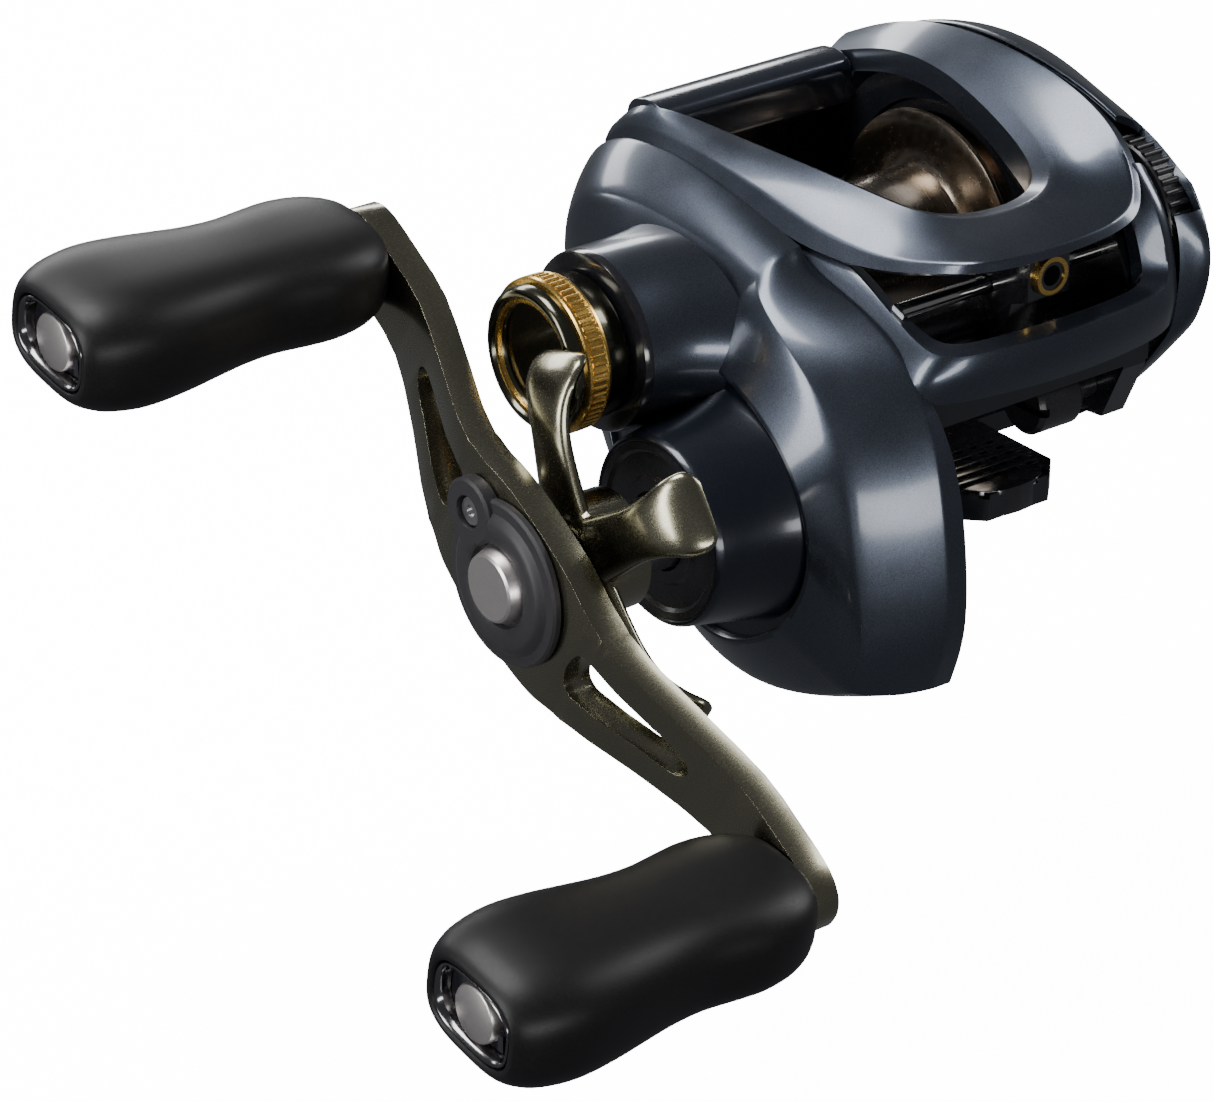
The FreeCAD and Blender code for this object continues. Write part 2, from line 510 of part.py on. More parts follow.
def make_handle():
    """The swept double handle: a flat outline met with a side profile that leans in to the reel."""
    plan = doc.addObject("PartDesign::Body", "arm_plan")
    half = "dim.arm_half"
    outline = []
    edge = [("9", 9.4), ("14", 7.6), ("24", 5.7), ("36", 4.5), (f"({half} + 1)", 4.5),
            (f"({half} + 3.6)", 3.2)]
    for side in (1, -1):
        outline += [(f"{side} * {reach}", f"{-side} * {wide}") for reach, wide in edge]
        outline.append((f"{side} * ({half} + 4.8)", "0"))
        outline += [(f"{side} * {reach}", f"{side} * {wide}") for reach, wide in reversed(edge)]
    sketch = sketch_polygon(plan, "YZ_Plane", "arm_plan_outline", outline, "dim.arm_hub_x - 4")
    pad = plan.newObject("PartDesign::Pad", "arm_plan_pad")
    pad.Profile = sketch
    bind(pad, "Length", "20")
    side_body = doc.addObject("PartDesign::Body", "arm_side")
    hub, thick, sweep = "dim.arm_hub_x", "dim.arm_thick", "dim.arm_sweep"
    reach = "(dim.arm_half + 6)"
    back = f"{hub} + {sweep} + {thick}"
    profile = [(hub, 10), (f"{hub} + 1.6", 18), (f"{hub} + {sweep} - 1.4", 30), (f"{hub} + {sweep}", 36),
               (f"{hub} + {sweep}", reach), (f"{back}", reach), (f"{back}", 35), (f"{back} - 1.4", 29),
               (f"{hub} + {thick} + 1.6", 17), (f"{hub} + {thick}", 9)]
    profile += [(x, f"-1 * {s}") for x, s in reversed(profile)]
    strip = sketch_polygon(side_body, "XY_Plane", "arm_side_outline", profile, "-12")
    wide = side_body.newObject("PartDesign::Pad", "arm_side_pad")
    wide.Profile = strip
    bind(wide, "Length", "24")
    arm = doc.addObject("Part::Common", "arm_solid")
    arm.Base = plan
    arm.Tool = side_body
    tools = [rod("arm_bore", "dim.arm_hub_x - 2", "9", "dim.crank_shaft - 0.4", ("0", "0"))]
    for side in (1, -1):
        slot = padded(f"arm_slot{side + 1}", "YZ_Plane", [
            (f"{side} * 13", f"{side} * 3.4"), (f"{side} * 11.6", "0"), (f"{side} * 13", f"{-side} * 3.4"),
            (f"{side} * 27.4", f"{-side} * 1.5"), (f"{side} * 28.6", "0"),
            (f"{side} * 27.4", f"{side} * 1.5")],
            "dim.arm_hub_x - 4", "20")
        tools.append(slot)
        tools.append(rod(f"arm_pin_hole{side + 1}", "dim.arm_hub_x - 2", "20", "dim.knob_pin",
                         (f"{side} * dim.arm_half", "0")))
    handle = cut("handle_arm", arm, tools)
    handle.Placement = FreeCAD.Placement(V(0, 0, 0), FreeCAD.Rotation(V(1, 0, 0), d("arm_tilt")))
    bind(handle, "Placement.Rotation.Angle", "dim.arm_tilt * 1 deg")
    place(handle, CRANK)
    keep("handle_arm", handle)


def make_handle_fittings():
    keep("handle_nut", cut("handle_nut", turned("nut_body", [
        (-60, 2.2), (-60, 5.2), (-61.4, 5.2), (-61.6, 4.3), (-63, 4.1), (-63, 0), (-61.2, 0), (-61.2, 2.2)],
        CRANK), [block("nut_flat", ("-61.4", "-dim.crank_front + 4.75", "dim.crank_height - 3"),
                       ("1.4", "2", "6"))]))
    cover = turned("retainer_disc", [(-60, 5.4), (-60, 9.6), (-61.2, 9.4), (-61.9, 8.2), (-62.0, 5.2),
                                     (-61.7, 5.2), (-61.7, 5.4)], CRANK)
    lug_y, lug_z = lug_centre()
    lug = rod("retainer_lug", "-61.6", "1.6", "3.9", (lug_y, lug_z))
    hollow = rod("lug_hole", "-62.6", "1.6", "1.9", (lug_y, lug_z))
    bore = rod("retainer_bore", "-63", "4", "5.4", CRANK)
    keep("nut_retainer", cut("nut_retainer", fuse("retainer_solid", [cover, lug]), [hollow, bore]))
    screw = turned("retainer_screw", [(-61.02, 0), (-61.02, 1.8), (-61.5, 1.6), (-61.5, 0.7),
                                      (-61.2, 0.7), (-61.2, 0)], (lug_y, lug_z))
    keep("retainer_screw", screw)
    pins = []
    for side in (1, -1):
        pins.append(turned(f"knob_pin{side + 1}", [
            (-90.4, 0), (-90.4, "dim.knob_pin - 0.3"), (-89.8, "dim.knob_pin"), (-48.6, "dim.knob_pin"),
            (-48.6, 3.0), (-47.8, 2.7), (-47.8, 0)], knob_axis(side)))
    keep("knob_pins", fuse("knob_pins", pins))


def lug_centre():
    """The retainer's lug sits on the arm's upper half."""
    angle = "(dim.arm_tilt + 22) * 1 deg"
    return f"-dim.crank_front + 8.6 * cos({angle})", f"dim.crank_height + 8.6 * sin({angle})"


def knob_outline(axis, x, wide, tall, power=0.8):
    """A rounded outline square to a knob's pin, in the plane at x, turned to the knob's own lean."""
    lean = math.radians(d("knob_lean"))
    points = []
    for k in range(16):
        angle = 2 * math.pi * k / 16
        u = wide / 2 * math.copysign(abs(math.cos(angle)) ** power, math.cos(angle))
        w = tall / 2 * math.copysign(abs(math.sin(angle)) ** power, math.sin(angle))
        points.append((axis[0] + u * math.cos(lean) - w * math.sin(lean),
                       axis[1] + u * math.sin(lean) + w * math.cos(lean)))
    return section(x, points)


def knob_slab(axis, x, length, wide, tall):
    """A straight prism of a knob outline."""
    ends = [knob_outline(axis, x, wide, tall, 0.7), knob_outline(axis, x + length, wide, tall, 0.7)]
    return Part.makeLoft(ends, True, True)


def make_knob(name, side):
    """A paddle knob, lofted through rounded outlines, free on its pin, with a framed cap in its end."""
    axis = point(knob_axis(side))
    cy, cz = axis
    outer, inner = d("knob_outer_x"), d("knob_inner_x")
    length = inner - outer
    sizes = [(0.0, 15.8, 11.2), (0.05, 18.6, 13.4), (0.2, 20.2, 14.8), (0.4, 18.6, 13.8),
             (0.58, 17.0, 12.8), (0.78, 18.6, 12.8), (0.93, 16.0, 11.6), (1.0, 12.6, 10.0)]
    grip = Part.makeLoft([knob_outline(axis, outer + length * t, wide, tall) for t, wide, tall in sizes],
                         True, False)
    bore = Part.makeCylinder(d("knob_bore"), length + 2, V(outer - 1, cy, cz), V(1, 0, 0))
    seat = Part.makeCylinder(4.0, 3.4, V(inner - 3.3, cy, cz), V(1, 0, 0))
    recess = knob_slab(axis, outer - 0.2, 4.0, 13.0, 8.6)
    keep(name + "_grip", shaped(name + "_grip", grip.cut(bore.fuse([seat, recess]))))
    trim = knob_slab(axis, outer + 0.2, 2.6, 12.9, 8.5).cut(knob_slab(axis, outer - 0.8, 4.6, 11.3, 6.9))
    keep(name + "_trim", shaped(name + "_trim", trim))
    disc = Part.makeCylinder(3.0, 2.5, V(outer + 0.4, cy, cz), V(1, 0, 0))
    cap = knob_slab(axis, outer + 1.9, 1.0, 11.2, 6.8).fuse(disc)
    keep(name + "_cap", shaped(name + "_cap", cap))
    keep(name + "_bearing", bearing(name + "_bearing", "dim.knob_inner_x - 3.2", "2.4", "4.0",
                                    "dim.knob_pin + 0.05", knob_axis(side)))


def make_star():
    """The star drag: a hub and five paddles that bend in towards the reel."""
    hub = turned("star_hub", [
        (-44.6, "dim.crank_shaft + 0.06"), (-44.6, 5.4), (-46, "dim.star_hub"), (-51.6, "dim.star_hub"),
        ("dim.star_x", 6), ("dim.star_x", "dim.crank_shaft + 0.06")], CRANK)
    items = [hub]
    for i in range(int(d("star_points"))):
        paddle = padded(f"star_paddle{i}", "XY_Plane", [
            ("dim.star_x + 0.6", 5.5), ("dim.star_x + 0.2", 14), ("dim.star_x + 0.6", "dim.star_radius - 2"),
            ("dim.star_x + 2.4", "dim.star_radius"), ("dim.star_x + 5.2", "dim.star_radius - 0.4"),
            ("dim.star_x + 5.2", "dim.star_radius - 2.2"), ("dim.star_x + 2.8", "dim.star_radius - 3.4"),
            ("dim.star_x + 2.2", 14), ("dim.star_x + 3.4", 5.5)], "-2.6", "5.2")
        turn = d("star_turn") + 360 / d("star_points") * i
        paddle.Placement = FreeCAD.Placement(V(0, 0, 0), FreeCAD.Rotation(V(1, 0, 0), turn))
        place(paddle, CRANK)
        items.append(paddle)
    bore = rod("star_bore", "-60", "20", "dim.crank_shaft + 0.06", CRANK)
    keep("star_drag", cut("star_drag", fuse("star_solid", items), [bore]))


# ---------------------------------------------------------------- spool axis

def make_cast_cap():
    keep("cast_cap", turned("cast_cap", [
        ("dim.cap_x + 2.8", 0), ("dim.cap_x + 2.8", "dim.neck_radius + 0.1"),
        ("dim.cast_shoulder_x - 0.3", "dim.neck_radius + 0.1"), ("dim.cast_shoulder_x - 0.3", 8.6),
        (-41.6, "dim.cap_radius"), (-45.2, "dim.cap_radius"), ("dim.cap_x + 0.3", 8.1), ("dim.cap_x", 7.7),
        ("dim.cap_x", 6.9), ("dim.cap_x + 1.2", 6.5), ("dim.cap_x + 1.2", 0)], SPOOL))
    keep("cast_cap_ring", ring("cast_cap_ring", "-45.0", "3.2", "dim.cap_ring", "dim.cap_radius", SPOOL))
    keep("tension_washer", ring("tension_washer", "dim.cap_x + 2.8", "0.9", "3.2", "0.4", SPOOL))


def make_spool():
    left, right, lip, arbor = "dim.flange_left", "dim.flange_right", "dim.spool_radius", "dim.arbor_radius"
    inner_left = f"{left} + dim.flange_thick"
    inner_right = f"{right} - dim.flange_thick"
    keep("spool", turned("spool", [
        (left, "dim.spindle_radius"), (left, 8.0), (f"{left} + 0.6", f"{lip} - 0.4"), (f"{left} + 0.9", lip),
        (f"{inner_left} + 0.5", lip), (f"{inner_left} + 1.6", f"{arbor} + 1.2"),
        (f"{inner_left} + 2.8", arbor), (f"{inner_right} - 2.8", arbor),
        (f"{inner_right} - 1.6", f"{arbor} + 1.2"), (f"{inner_right} - 0.5", lip),
        (f"{right} - 0.3", lip), (right, f"{lip} - 0.4"), (f"{right} - 0.5", 8.4), (f"{right} - 6", 7.6),
        (f"{right} - 6", 3.4), (right, 3.2), (right, "dim.spindle_radius")], SPOOL))
    shaft = turned("spool_spindle", [
        ("dim.shaft_left", 0), ("dim.shaft_left", "dim.shaft_radius - 0.3"),
        ("dim.shaft_left + 0.3", "dim.shaft_radius"), (-15.2, "dim.shaft_radius"),
        (-15.2, "dim.spindle_radius"),
        (17.0, "dim.spindle_radius"), (17.0, "dim.shaft_radius"), ("dim.shaft_right", "dim.shaft_radius"),
        ("dim.shaft_right", 0)], SPOOL)
    pin = upright("spool_cross_pin", "-16.9", "0", "dim.spool_height - 2.6", "5.2", "0.45")
    keep("spool_shaft", fuse("spool_shaft", [shaft, pin]))
    magnet = ring("spool_magnet", "12.5", "4.2", "dim.magnet_radius", "dim.spindle_radius", SPOOL)
    keep("spool_magnet", magnet)


def make_pinion():
    """The sliding pinion: teeth, a yoke groove, and a slot that takes the spool shaft's cross pin."""
    centre = point(SPOOL)
    bore = 1.36
    turn = spool_direction() + 180 + 180 / d("pinion_teeth")
    toothed = gear_solid(d("pinion_teeth"), spool_module(), -26, 5.8, centre, turn, bore)
    hub = Part.makeCylinder(3.3, 2.5, V(-18.9, *centre), V(1, 0, 0))
    neck = Part.makeCylinder(1.95, 13.4, V(-31.9, *centre), V(1, 0, 0))
    collar = Part.makeCylinder(3.0, 0.3, V(-20.2, *centre), V(1, 0, 0))
    slot = Part.makeBox(1.3, 1.15, 8, V(-17.65, centre[0] - 0.575, centre[1] - 4))
    through = Part.makeCylinder(bore, 20, V(-33, *centre), V(1, 0, 0))
    solid = neck.fuse([toothed, hub, collar]).cut(slot.fuse(through))
    keep("pinion_gear", shaped("pinion_gear", solid.removeSplitter()))


def yoke_post(side):
    """The yoke's two posts stand either side of the spool axis, square to the line between the axes."""
    turn = math.radians(spool_direction() + 90)
    reach = f"{side} * 7.6"
    return (f"{reach} * {math.cos(turn):.6f}", f"dim.spool_height + {reach} * {math.sin(turn):.6f}")


def make_clutch():
    yoke_x = "dim.yoke_x - dim.yoke_thick"
    centre = ring("yoke_ring", yoke_x, "dim.yoke_thick", "4.4", "2.1", SPOOL)
    eyes = [centre]
    for side in (1, -1):
        eyes.append(ring(f"yoke_eye{side + 1}", yoke_x, "dim.yoke_thick", "2.6", "1.3", yoke_post(side)))
    link = doc.addObject("Part::Box", "yoke_link")
    bind(link, "Length", "dim.yoke_thick")
    bind(link, "Width", "15")
    bind(link, "Height", "3")
    turn = FreeCAD.Rotation(V(1, 0, 0), spool_direction() + 90)
    middle = turn.multVec(V(0, -7.5, -1.5))
    link.Placement = FreeCAD.Placement(V(0, 0, 0), turn)
    place(link, (f"{middle.y:.6f}", f"dim.spool_height + {middle.z:.6f}"), yoke_x)
    holes = [rod("yoke_open", "-24", "9", "2.1", SPOOL)]
    for side in (1, -1):
        holes.append(rod(f"yoke_hole{side + 1}", "-24", "9", "1.3", yoke_post(side)))
    keep("clutch_yoke", cut("clutch_yoke", fuse("yoke_solid", eyes + [link]), holes))
    posts = [rod(f"yoke_post{side + 1}", "-24.6", "24.6 + dim.wall_out", "1.2", yoke_post(side))
             for side in (1, -1)]
    keep("yoke_posts", fuse("yoke_posts", posts))
    coils = []
    for side in (1, -1):
        cy, cz = point(yoke_post(side))
        wire = 0.34
        helix = Part.makeHelix(0.62, 2.5, 1.62)
        start = Part.Wire(Part.makeCircle(wire / 2, V(1.62, 0, 0), V(0, 1, 0)))
        coil = Part.Wire(helix).makePipeShell([start], True, True)
        coil.Placement = FreeCAD.Placement(V(-24.2, cy, cz), FreeCAD.Rotation(V(0, 1, 0), 90))
        coils.append(shaped(f"yoke_spring{side + 1}", coil))
    keep("yoke_springs", fuse("yoke_springs", coils))
    back = "dim.bar_y + dim.bar_depth"
    bar = padded("thumb_bar_body", "YZ_Plane", [
        ("dim.bar_y", "dim.bar_top - dim.bar_height"), ("dim.bar_y", "dim.bar_top - 1.4"),
        ("dim.bar_y + 1.2", "dim.bar_top - 0.3"), ("dim.bar_y + 3.4", "dim.bar_top"),
        (f"{back} - 1", "dim.bar_top - 1.0"), (back, "dim.bar_top - 2.4"),
        (f"{back} - 0.8", "dim.bar_top - dim.bar_height")],
        "dim.wall_in + 0.3", "dim.ring_in - dim.wall_in - 0.6")
    stem = block("thumb_bar_stem", ("dim.wall_in + 0.3", "dim.bar_y + 0.8", "dim.bar_top - 10.6"),
                 ("1.8", "3.4", "8"))
    tab = block("thumb_bar_tab", ("dim.wall_out - 0.45", "dim.bar_y + 0.8", "dim.bar_top - 10.6"),
                ("dim.wall_in - dim.wall_out + 2.5", "3.4", "3.8"))
    keep("thumb_bar", fuse("thumb_bar", [bar, stem, tab]))
    cam = padded("clutch_cam", "YZ_Plane", [(11, 22), (11, 26), (14, 31), (19.6, 31), (20, 28), (17, 22)],
                 "dim.wall_out - 1.15", "0.7")
    keep("clutch_cam", cam)


# ---------------------------------------------------------------- level wind

def make_level_wind():
    idler, worm = point(IDLER), point(WORM)
    module, wide = d("wind_module"), d("wind_width")
    gear_x = d("wind_x") - wide
    turn = d("wind_angle") + 180
    keep("idler_gear", shaped("idler_gear", gear_solid(
        d("idler_teeth"), module, gear_x, wide, idler, turn + 180 / d("idler_teeth"), 1.1)))
    keep("worm_gear", shaped("worm_gear", gear_solid(
        d("worm_teeth"), module, gear_x, wide, worm, turn + 180 / d("worm_teeth"), d("worm_journal"))))
    grooves = []
    pitch = 3.4
    for i in range(-3, 3):
        left = pitch * i + 0.6
        grooves += [(left, "dim.worm_radius"), (left + 0.5, "dim.worm_radius - 0.5"),
                    (left + 1.7, "dim.worm_radius - 0.5"), (left + 2.2, "dim.worm_radius")]
    keep("worm_shaft", turned("worm_shaft", [
        ("dim.wind_x - dim.wind_width - 0.05", 0),
        ("dim.wind_x - dim.wind_width - 0.05", "dim.worm_journal"),
        (-13.6, "dim.worm_journal"), (-13.6, "dim.worm_radius")] + grooves + [
        (11.4, "dim.worm_radius"), (11.4, "dim.worm_journal"), (12.3, "dim.worm_journal"), (12.3, 0)], WORM))
    tube = ring("worm_tube_body", "dim.wall_in", "dim.ring_in - dim.wall_in", "dim.tube_radius",
                "dim.tube_bore", WORM)
    y, z = WORM
    slot = block("worm_tube_slot", ("-13", f"{y} - 1.15", f"{z} - 4"), ("25", "2.3", "4"))
    keep("worm_tube", cut("worm_tube", tube, [slot]))
    keep("guide_rod", rod("guide_rod", "dim.wall_in", "dim.ring_in - dim.wall_in", "dim.rod_radius", ROD))
    make_carriage(y, z)


def make_carriage(y, z):
    """The line guide: a block on the tube and the rod, with its eye out in the front window."""
    body = padded("carriage_block", "YZ_Plane", [
        (-28.2, 18.6), (-18.8, 18.6), (-18.8, 25.6), (-22.6, 29.6), (-27.6, 31.4), (-29.8, 32.6),
        (-33.0, 32.6), (-33.0, 27.6), (-30.4, 26.6)], "-dim.carriage_half", "2 * dim.carriage_half")
    clear = "0.12"
    bore = rod("carriage_bore", "-6", "12", f"dim.tube_radius + {clear}", WORM)
    slide = rod("carriage_slide", "-6", "12", f"dim.rod_radius + {clear}", ROD)
    eye = doc.addObject("Part::Cylinder", "carriage_eye")
    eye.Placement = FreeCAD.Placement(V(0, 0, 0), FreeCAD.Rotation(V(1, 0, 0), 90))
    bind(eye, "Radius", "dim.insert_radius")
    bind(eye, "Height", "12")
    place(eye, ("dim.eye_y + 4", "dim.eye_z"))
    well = upright("pawl_well", "0", y, "17", f"{z} - 17", "0.95")
    keep("line_guide", cut("line_guide", body, [bore, slide, eye, well]))
    insert = ring("guide_ring_body", "-1.5", "3.4", "dim.insert_radius", "dim.eye_bore", ("0", "0"))
    insert.Placement = FreeCAD.Placement(V(0, 0, 0), FreeCAD.Rotation(V(0, 0, 1), 90))
    place(insert, ("dim.eye_y", "dim.eye_z"))
    keep("guide_ring", insert)
    keep("wind_pawl", upright("wind_pawl", "0", y, "18.7", f"{z} - dim.worm_radius - 0.12 - 18.7", "0.9"))
    keep("pawl_cap", upright("pawl_cap", "0", y, "17.2", "1.4", "2.2"))


def make_screws():
    """The side plate's release knob, and the screws that hold the covers."""
    knob = turned("plate_lock_body", [
        (2.6, 0), (2.6, "dim.lock_radius - 0.5"), (3.1, "dim.lock_radius"), (8.4, "dim.lock_radius"),
        (8.9, "dim.lock_radius - 0.5"), (8.9, 1.6), (17.4, 1.6), (17.4, 0)], LOCK)
    slot = block("plate_lock_slot", ("2", "dim.lock_y - 5", "dim.lock_z - 0.5"), ("1.6", "10", "1"))
    keep("plate_lock", cut("plate_lock", knob, [slot]))
    heads = []
    for i, axis in enumerate(SCREWS):
        heads.append(turned(f"cover_screw{i}", [
            (-15.1, 0.7), (-15.1, 1.9), (-15.8, 1.9), (-15.8, 1.0), (-18.6, 1.0), (-18.6, 0), (-15.5, 0),
            (-15.5, 0.7)], axis))
    keep("cover_screws", fuse("cover_screws", heads))


def finish():
    doc.recompute()
    for item in doc.Objects:
        bad = [word for word in item.State if word in ("Invalid", "Error")]
        if bad:
            raise SystemExit(f"{item.Name} is {bad}")
    for name, item in parts:
        if item.Shape.isNull() or not item.Shape.isValid() or not item.Shape.Solids:
            raise SystemExit(f"{name} has no valid solid")
    os.makedirs("parts", exist_ok=True)
    for name, item in parts:
        item.Shape.exportStep(f"parts/{name}.step")
        print(f"{name:22s} {len(item.Shape.Solids)} solids {item.Shape.Volume:9.1f} mm3")
    print(len(parts), "nodes")


fill_sheet()
make_frame()
make_gear_side_plate()
make_palm_side_plate()
make_hood()
make_nose()
make_brake()
make_bearings()
make_drive_train()
make_handle()
make_handle_fittings()
make_knob("rear_knob", 1)
make_knob("front_knob", -1)
make_star()
make_cast_cap()
make_spool()
make_pinion()
make_clutch()
make_level_wind()
make_screws()
finish()
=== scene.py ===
import math

import bmesh
import bpy
from mathutils import Matrix, Vector


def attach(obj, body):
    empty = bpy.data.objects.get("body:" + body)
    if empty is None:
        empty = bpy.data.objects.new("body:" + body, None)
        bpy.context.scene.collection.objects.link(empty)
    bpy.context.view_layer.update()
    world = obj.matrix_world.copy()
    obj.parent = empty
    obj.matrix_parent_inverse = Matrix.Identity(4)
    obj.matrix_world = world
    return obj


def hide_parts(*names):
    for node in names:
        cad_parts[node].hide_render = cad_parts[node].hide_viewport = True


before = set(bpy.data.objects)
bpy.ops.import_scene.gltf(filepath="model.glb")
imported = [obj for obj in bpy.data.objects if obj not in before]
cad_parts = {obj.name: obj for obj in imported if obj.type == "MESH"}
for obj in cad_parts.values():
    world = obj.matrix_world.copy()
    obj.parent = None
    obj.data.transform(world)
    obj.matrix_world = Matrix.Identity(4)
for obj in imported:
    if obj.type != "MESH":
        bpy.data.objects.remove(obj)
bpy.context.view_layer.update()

# A low-profile baitcasting reel. Control points are in millimetres in the reel's own frame: +X to the
# palm side, -Y to the front, +Z up, with the origin under the foot. Meshes are made in metres.
MM = 0.001

SPOOL = (0.0, 20.8)
CRANK = (-14.5, 3.5)
ARM_TILT = math.radians(31.7)
ARM_HALF = 45.0
REAR_KNOB = (CRANK[0] + ARM_HALF * math.cos(ARM_TILT), CRANK[1] + ARM_HALF * math.sin(ARM_TILT))
FRONT_KNOB = (CRANK[0] - ARM_HALF * math.cos(ARM_TILT), CRANK[1] - ARM_HALF * math.sin(ARM_TILT))
DIAL = (-23.4, 29.4)
GUIDE_EYE = (-31.4, 30.3)
KNOB_OUTER = -93.6
KNOB_LENGTH = 40.8
KNOB_LEAN = math.radians(10)
STAR_TURN = 74
STAR_POINTS = 5
COVER_WALL = 0.9
HOOD_WALL = 0.8


# ---------------------------------------------------------------- meshes

def raw_piece(name, points, faces):
    """A new object from points in millimetres."""
    mesh = bpy.data.meshes.new(name)
    mesh.from_pydata([Vector(p) * MM for p in points], [], faces)
    mesh.update()
    piece = bpy.data.objects.new(name, mesh)
    bpy.context.scene.collection.objects.link(piece)
    return piece


def settle(piece):
    """Turn a piece's modifiers into plain mesh."""
    graph = bpy.context.evaluated_depsgraph_get()
    mesh = bpy.data.meshes.new_from_object(piece.evaluated_get(graph))
    piece.modifiers.clear()
    old = piece.data
    piece.data = mesh
    mesh.name = piece.name
    if old.users == 0:
        bpy.data.meshes.remove(old)
    return piece


def edit(piece, work):
    """Run work(bm) on a piece's mesh."""
    bm = bmesh.new()
    bm.from_mesh(piece.data)
    work(bm)
    bm.to_mesh(piece.data)
    bm.free()
    piece.data.update()
    return piece


def outward(bm):
    bmesh.ops.remove_doubles(bm, verts=bm.verts, dist=1e-6)
    bmesh.ops.recalc_face_normals(bm, faces=bm.faces)


def cap_ends(bm):
    """Close the open ends of a tube-like skin."""
    bmesh.ops.holes_fill(bm, edges=[e for e in bm.edges if e.is_boundary], sides=0)
    bmesh.ops.recalc_face_normals(bm, faces=bm.faces)


def subdivide(piece, levels):
    modifier = piece.modifiers.new("smooth", "SUBSURF")
    modifier.levels = levels
    modifier.render_levels = levels
    modifier.use_limit_surface = False
    return settle(piece)


def thicken(piece, wall):
    """Give an open skin a wall on its inner side; its faces already point outwards."""
    modifier = piece.modifiers.new("wall", "SOLIDIFY")
    modifier.thickness = wall * MM
    modifier.offset = -1
    modifier.use_even_offset = False
    return settle(piece)


def soften(piece, width, segments=2, angle=30):
    """Round every edge sharper than angle."""
    modifier = piece.modifiers.new("round", "BEVEL")
    modifier.width = width * MM
    modifier.segments = segments
    modifier.limit_method = "ANGLE"
    modifier.angle_limit = math.radians(angle)
    modifier.use_clamp_overlap = True
    return settle(piece)


def carve(piece, tool, operation="DIFFERENCE"):
    """Cut a tool out of a piece, or join it on, and drop the tool."""
    modifier = piece.modifiers.new("carve", "BOOLEAN")
    modifier.operation = operation
    modifier.solver = "EXACT"
    modifier.object = tool
    settle(piece)
    bpy.data.objects.remove(tool)
    return piece


def dress(piece, body, materials, replaces=(), sharp=32):
    """Materials, shading, and the body that a finished piece rides on."""
    for material in materials if isinstance(materials, (list, tuple)) else [materials]:
        piece.data.materials.append(material)
    piece.data.polygons.foreach_set("use_smooth", [True] * len(piece.data.polygons))
    piece.data.set_sharp_from_angle(angle=math.radians(sharp))
    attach(piece, body)
    if replaces:
        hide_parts(*replaces)
    return piece


def grid_faces(rows, columns, wrap):
    faces = []
    for i in range(rows - 1):
        for j in range(columns if wrap else columns - 1):
            k = (j + 1) % columns
            faces.append((i * columns + j, i * columns + k, (i + 1) * columns + k, (i + 1) * columns + j))
    return faces


def cage(name, rows, wrap=False, sharp_rows=None, sharp_columns=None, levels=3, fan=False):
    """A subdivided skin over rows of control points.

    sharp_rows and sharp_columns map a row or column number to its edges' crease, a number or a list.
    fan closes the last row on its own middle."""
    columns = len(rows[0])
    points = [p for row in rows for p in row]
    faces = grid_faces(len(rows), columns, wrap)
    if fan:
        last = rows[-1]
        points.append(tuple(sum(p[k] for p in last) / columns for k in range(3)))
        base = (len(rows) - 1) * columns
        faces += [(base + j, base + (j + 1) % columns, len(points) - 1) for j in range(columns)]
    piece = raw_piece(name, points, faces)

    def crease(bm):
        layer = bm.edges.layers.float.get("crease_edge") or bm.edges.layers.float.new("crease_edge")
        bm.verts.ensure_lookup_table()
        for kind, table in (("row", sharp_rows or {}), ("column", sharp_columns or {})):
            for number, weight in table.items():
                count = columns if kind == "row" else len(rows)
                for j in range(count):
                    if kind == "row":
                        a, b = number * columns + j, number * columns + (j + 1) % columns
                    elif j + 1 < count:
                        a, b = j * columns + number, (j + 1) * columns + number
                    else:
                        continue
                    edge = bm.edges.get((bm.verts[a], bm.verts[b]))
                    if edge:
                        edge[layer] = weight[j] if isinstance(weight, (list, tuple)) else weight
        bmesh.ops.recalc_face_normals(bm, faces=bm.faces)

    edit(piece, crease)
    return subdivide(piece, levels)


def lathe(name, outline, axis, steps=96):
    """Revolve a closed (x, radius) outline about an axis along X."""
    points, faces = [], []
    count = len(outline)
    for k in range(steps):
        turn = 2 * math.pi * k / steps
        points += [(x, axis[0] + r * math.cos(turn), axis[1] + r * math.sin(turn)) for x, r in outline]
    for k in range(steps):
        n = (k + 1) % steps
        for j in range(count):
            i = (j + 1) % count
            if outline[j][1] == 0 and outline[i][1] == 0:
                continue
            faces.append((k * count + j, n * count + j, n * count + i, k * count + i))
    piece = raw_piece(name, points, faces)

    def close(bm):
        bmesh.ops.remove_doubles(bm, verts=bm.verts, dist=1e-7)
        bmesh.ops.dissolve_degenerate(bm, edges=bm.edges, dist=1e-8)
        bmesh.ops.recalc_face_normals(bm, faces=bm.faces)

    return edit(piece, close)


def flow(points, per=8, closed=False):
    """A smooth line through points of any size, as Catmull-Rom stretches."""
    count = len(points)
    out = []
    for i in range(count if closed else count - 1):
        def at(k):
            return points[k % count] if closed else points[max(0, min(count - 1, k))]
        a, b, c, e = at(i - 1), at(i), at(i + 1), at(i + 2)
        for step in range(per):
            t = step / per
            out.append(tuple(0.5 * (2 * q + (r - p) * t + (2 * p - 5 * q + 4 * r - s) * t * t
                                    + (3 * q - p - 3 * r + s) * t ** 3)
                             for p, q, r, s in zip(a, b, c, e)))
    if not closed:
        out.append(tuple(points[-1]))
    return out


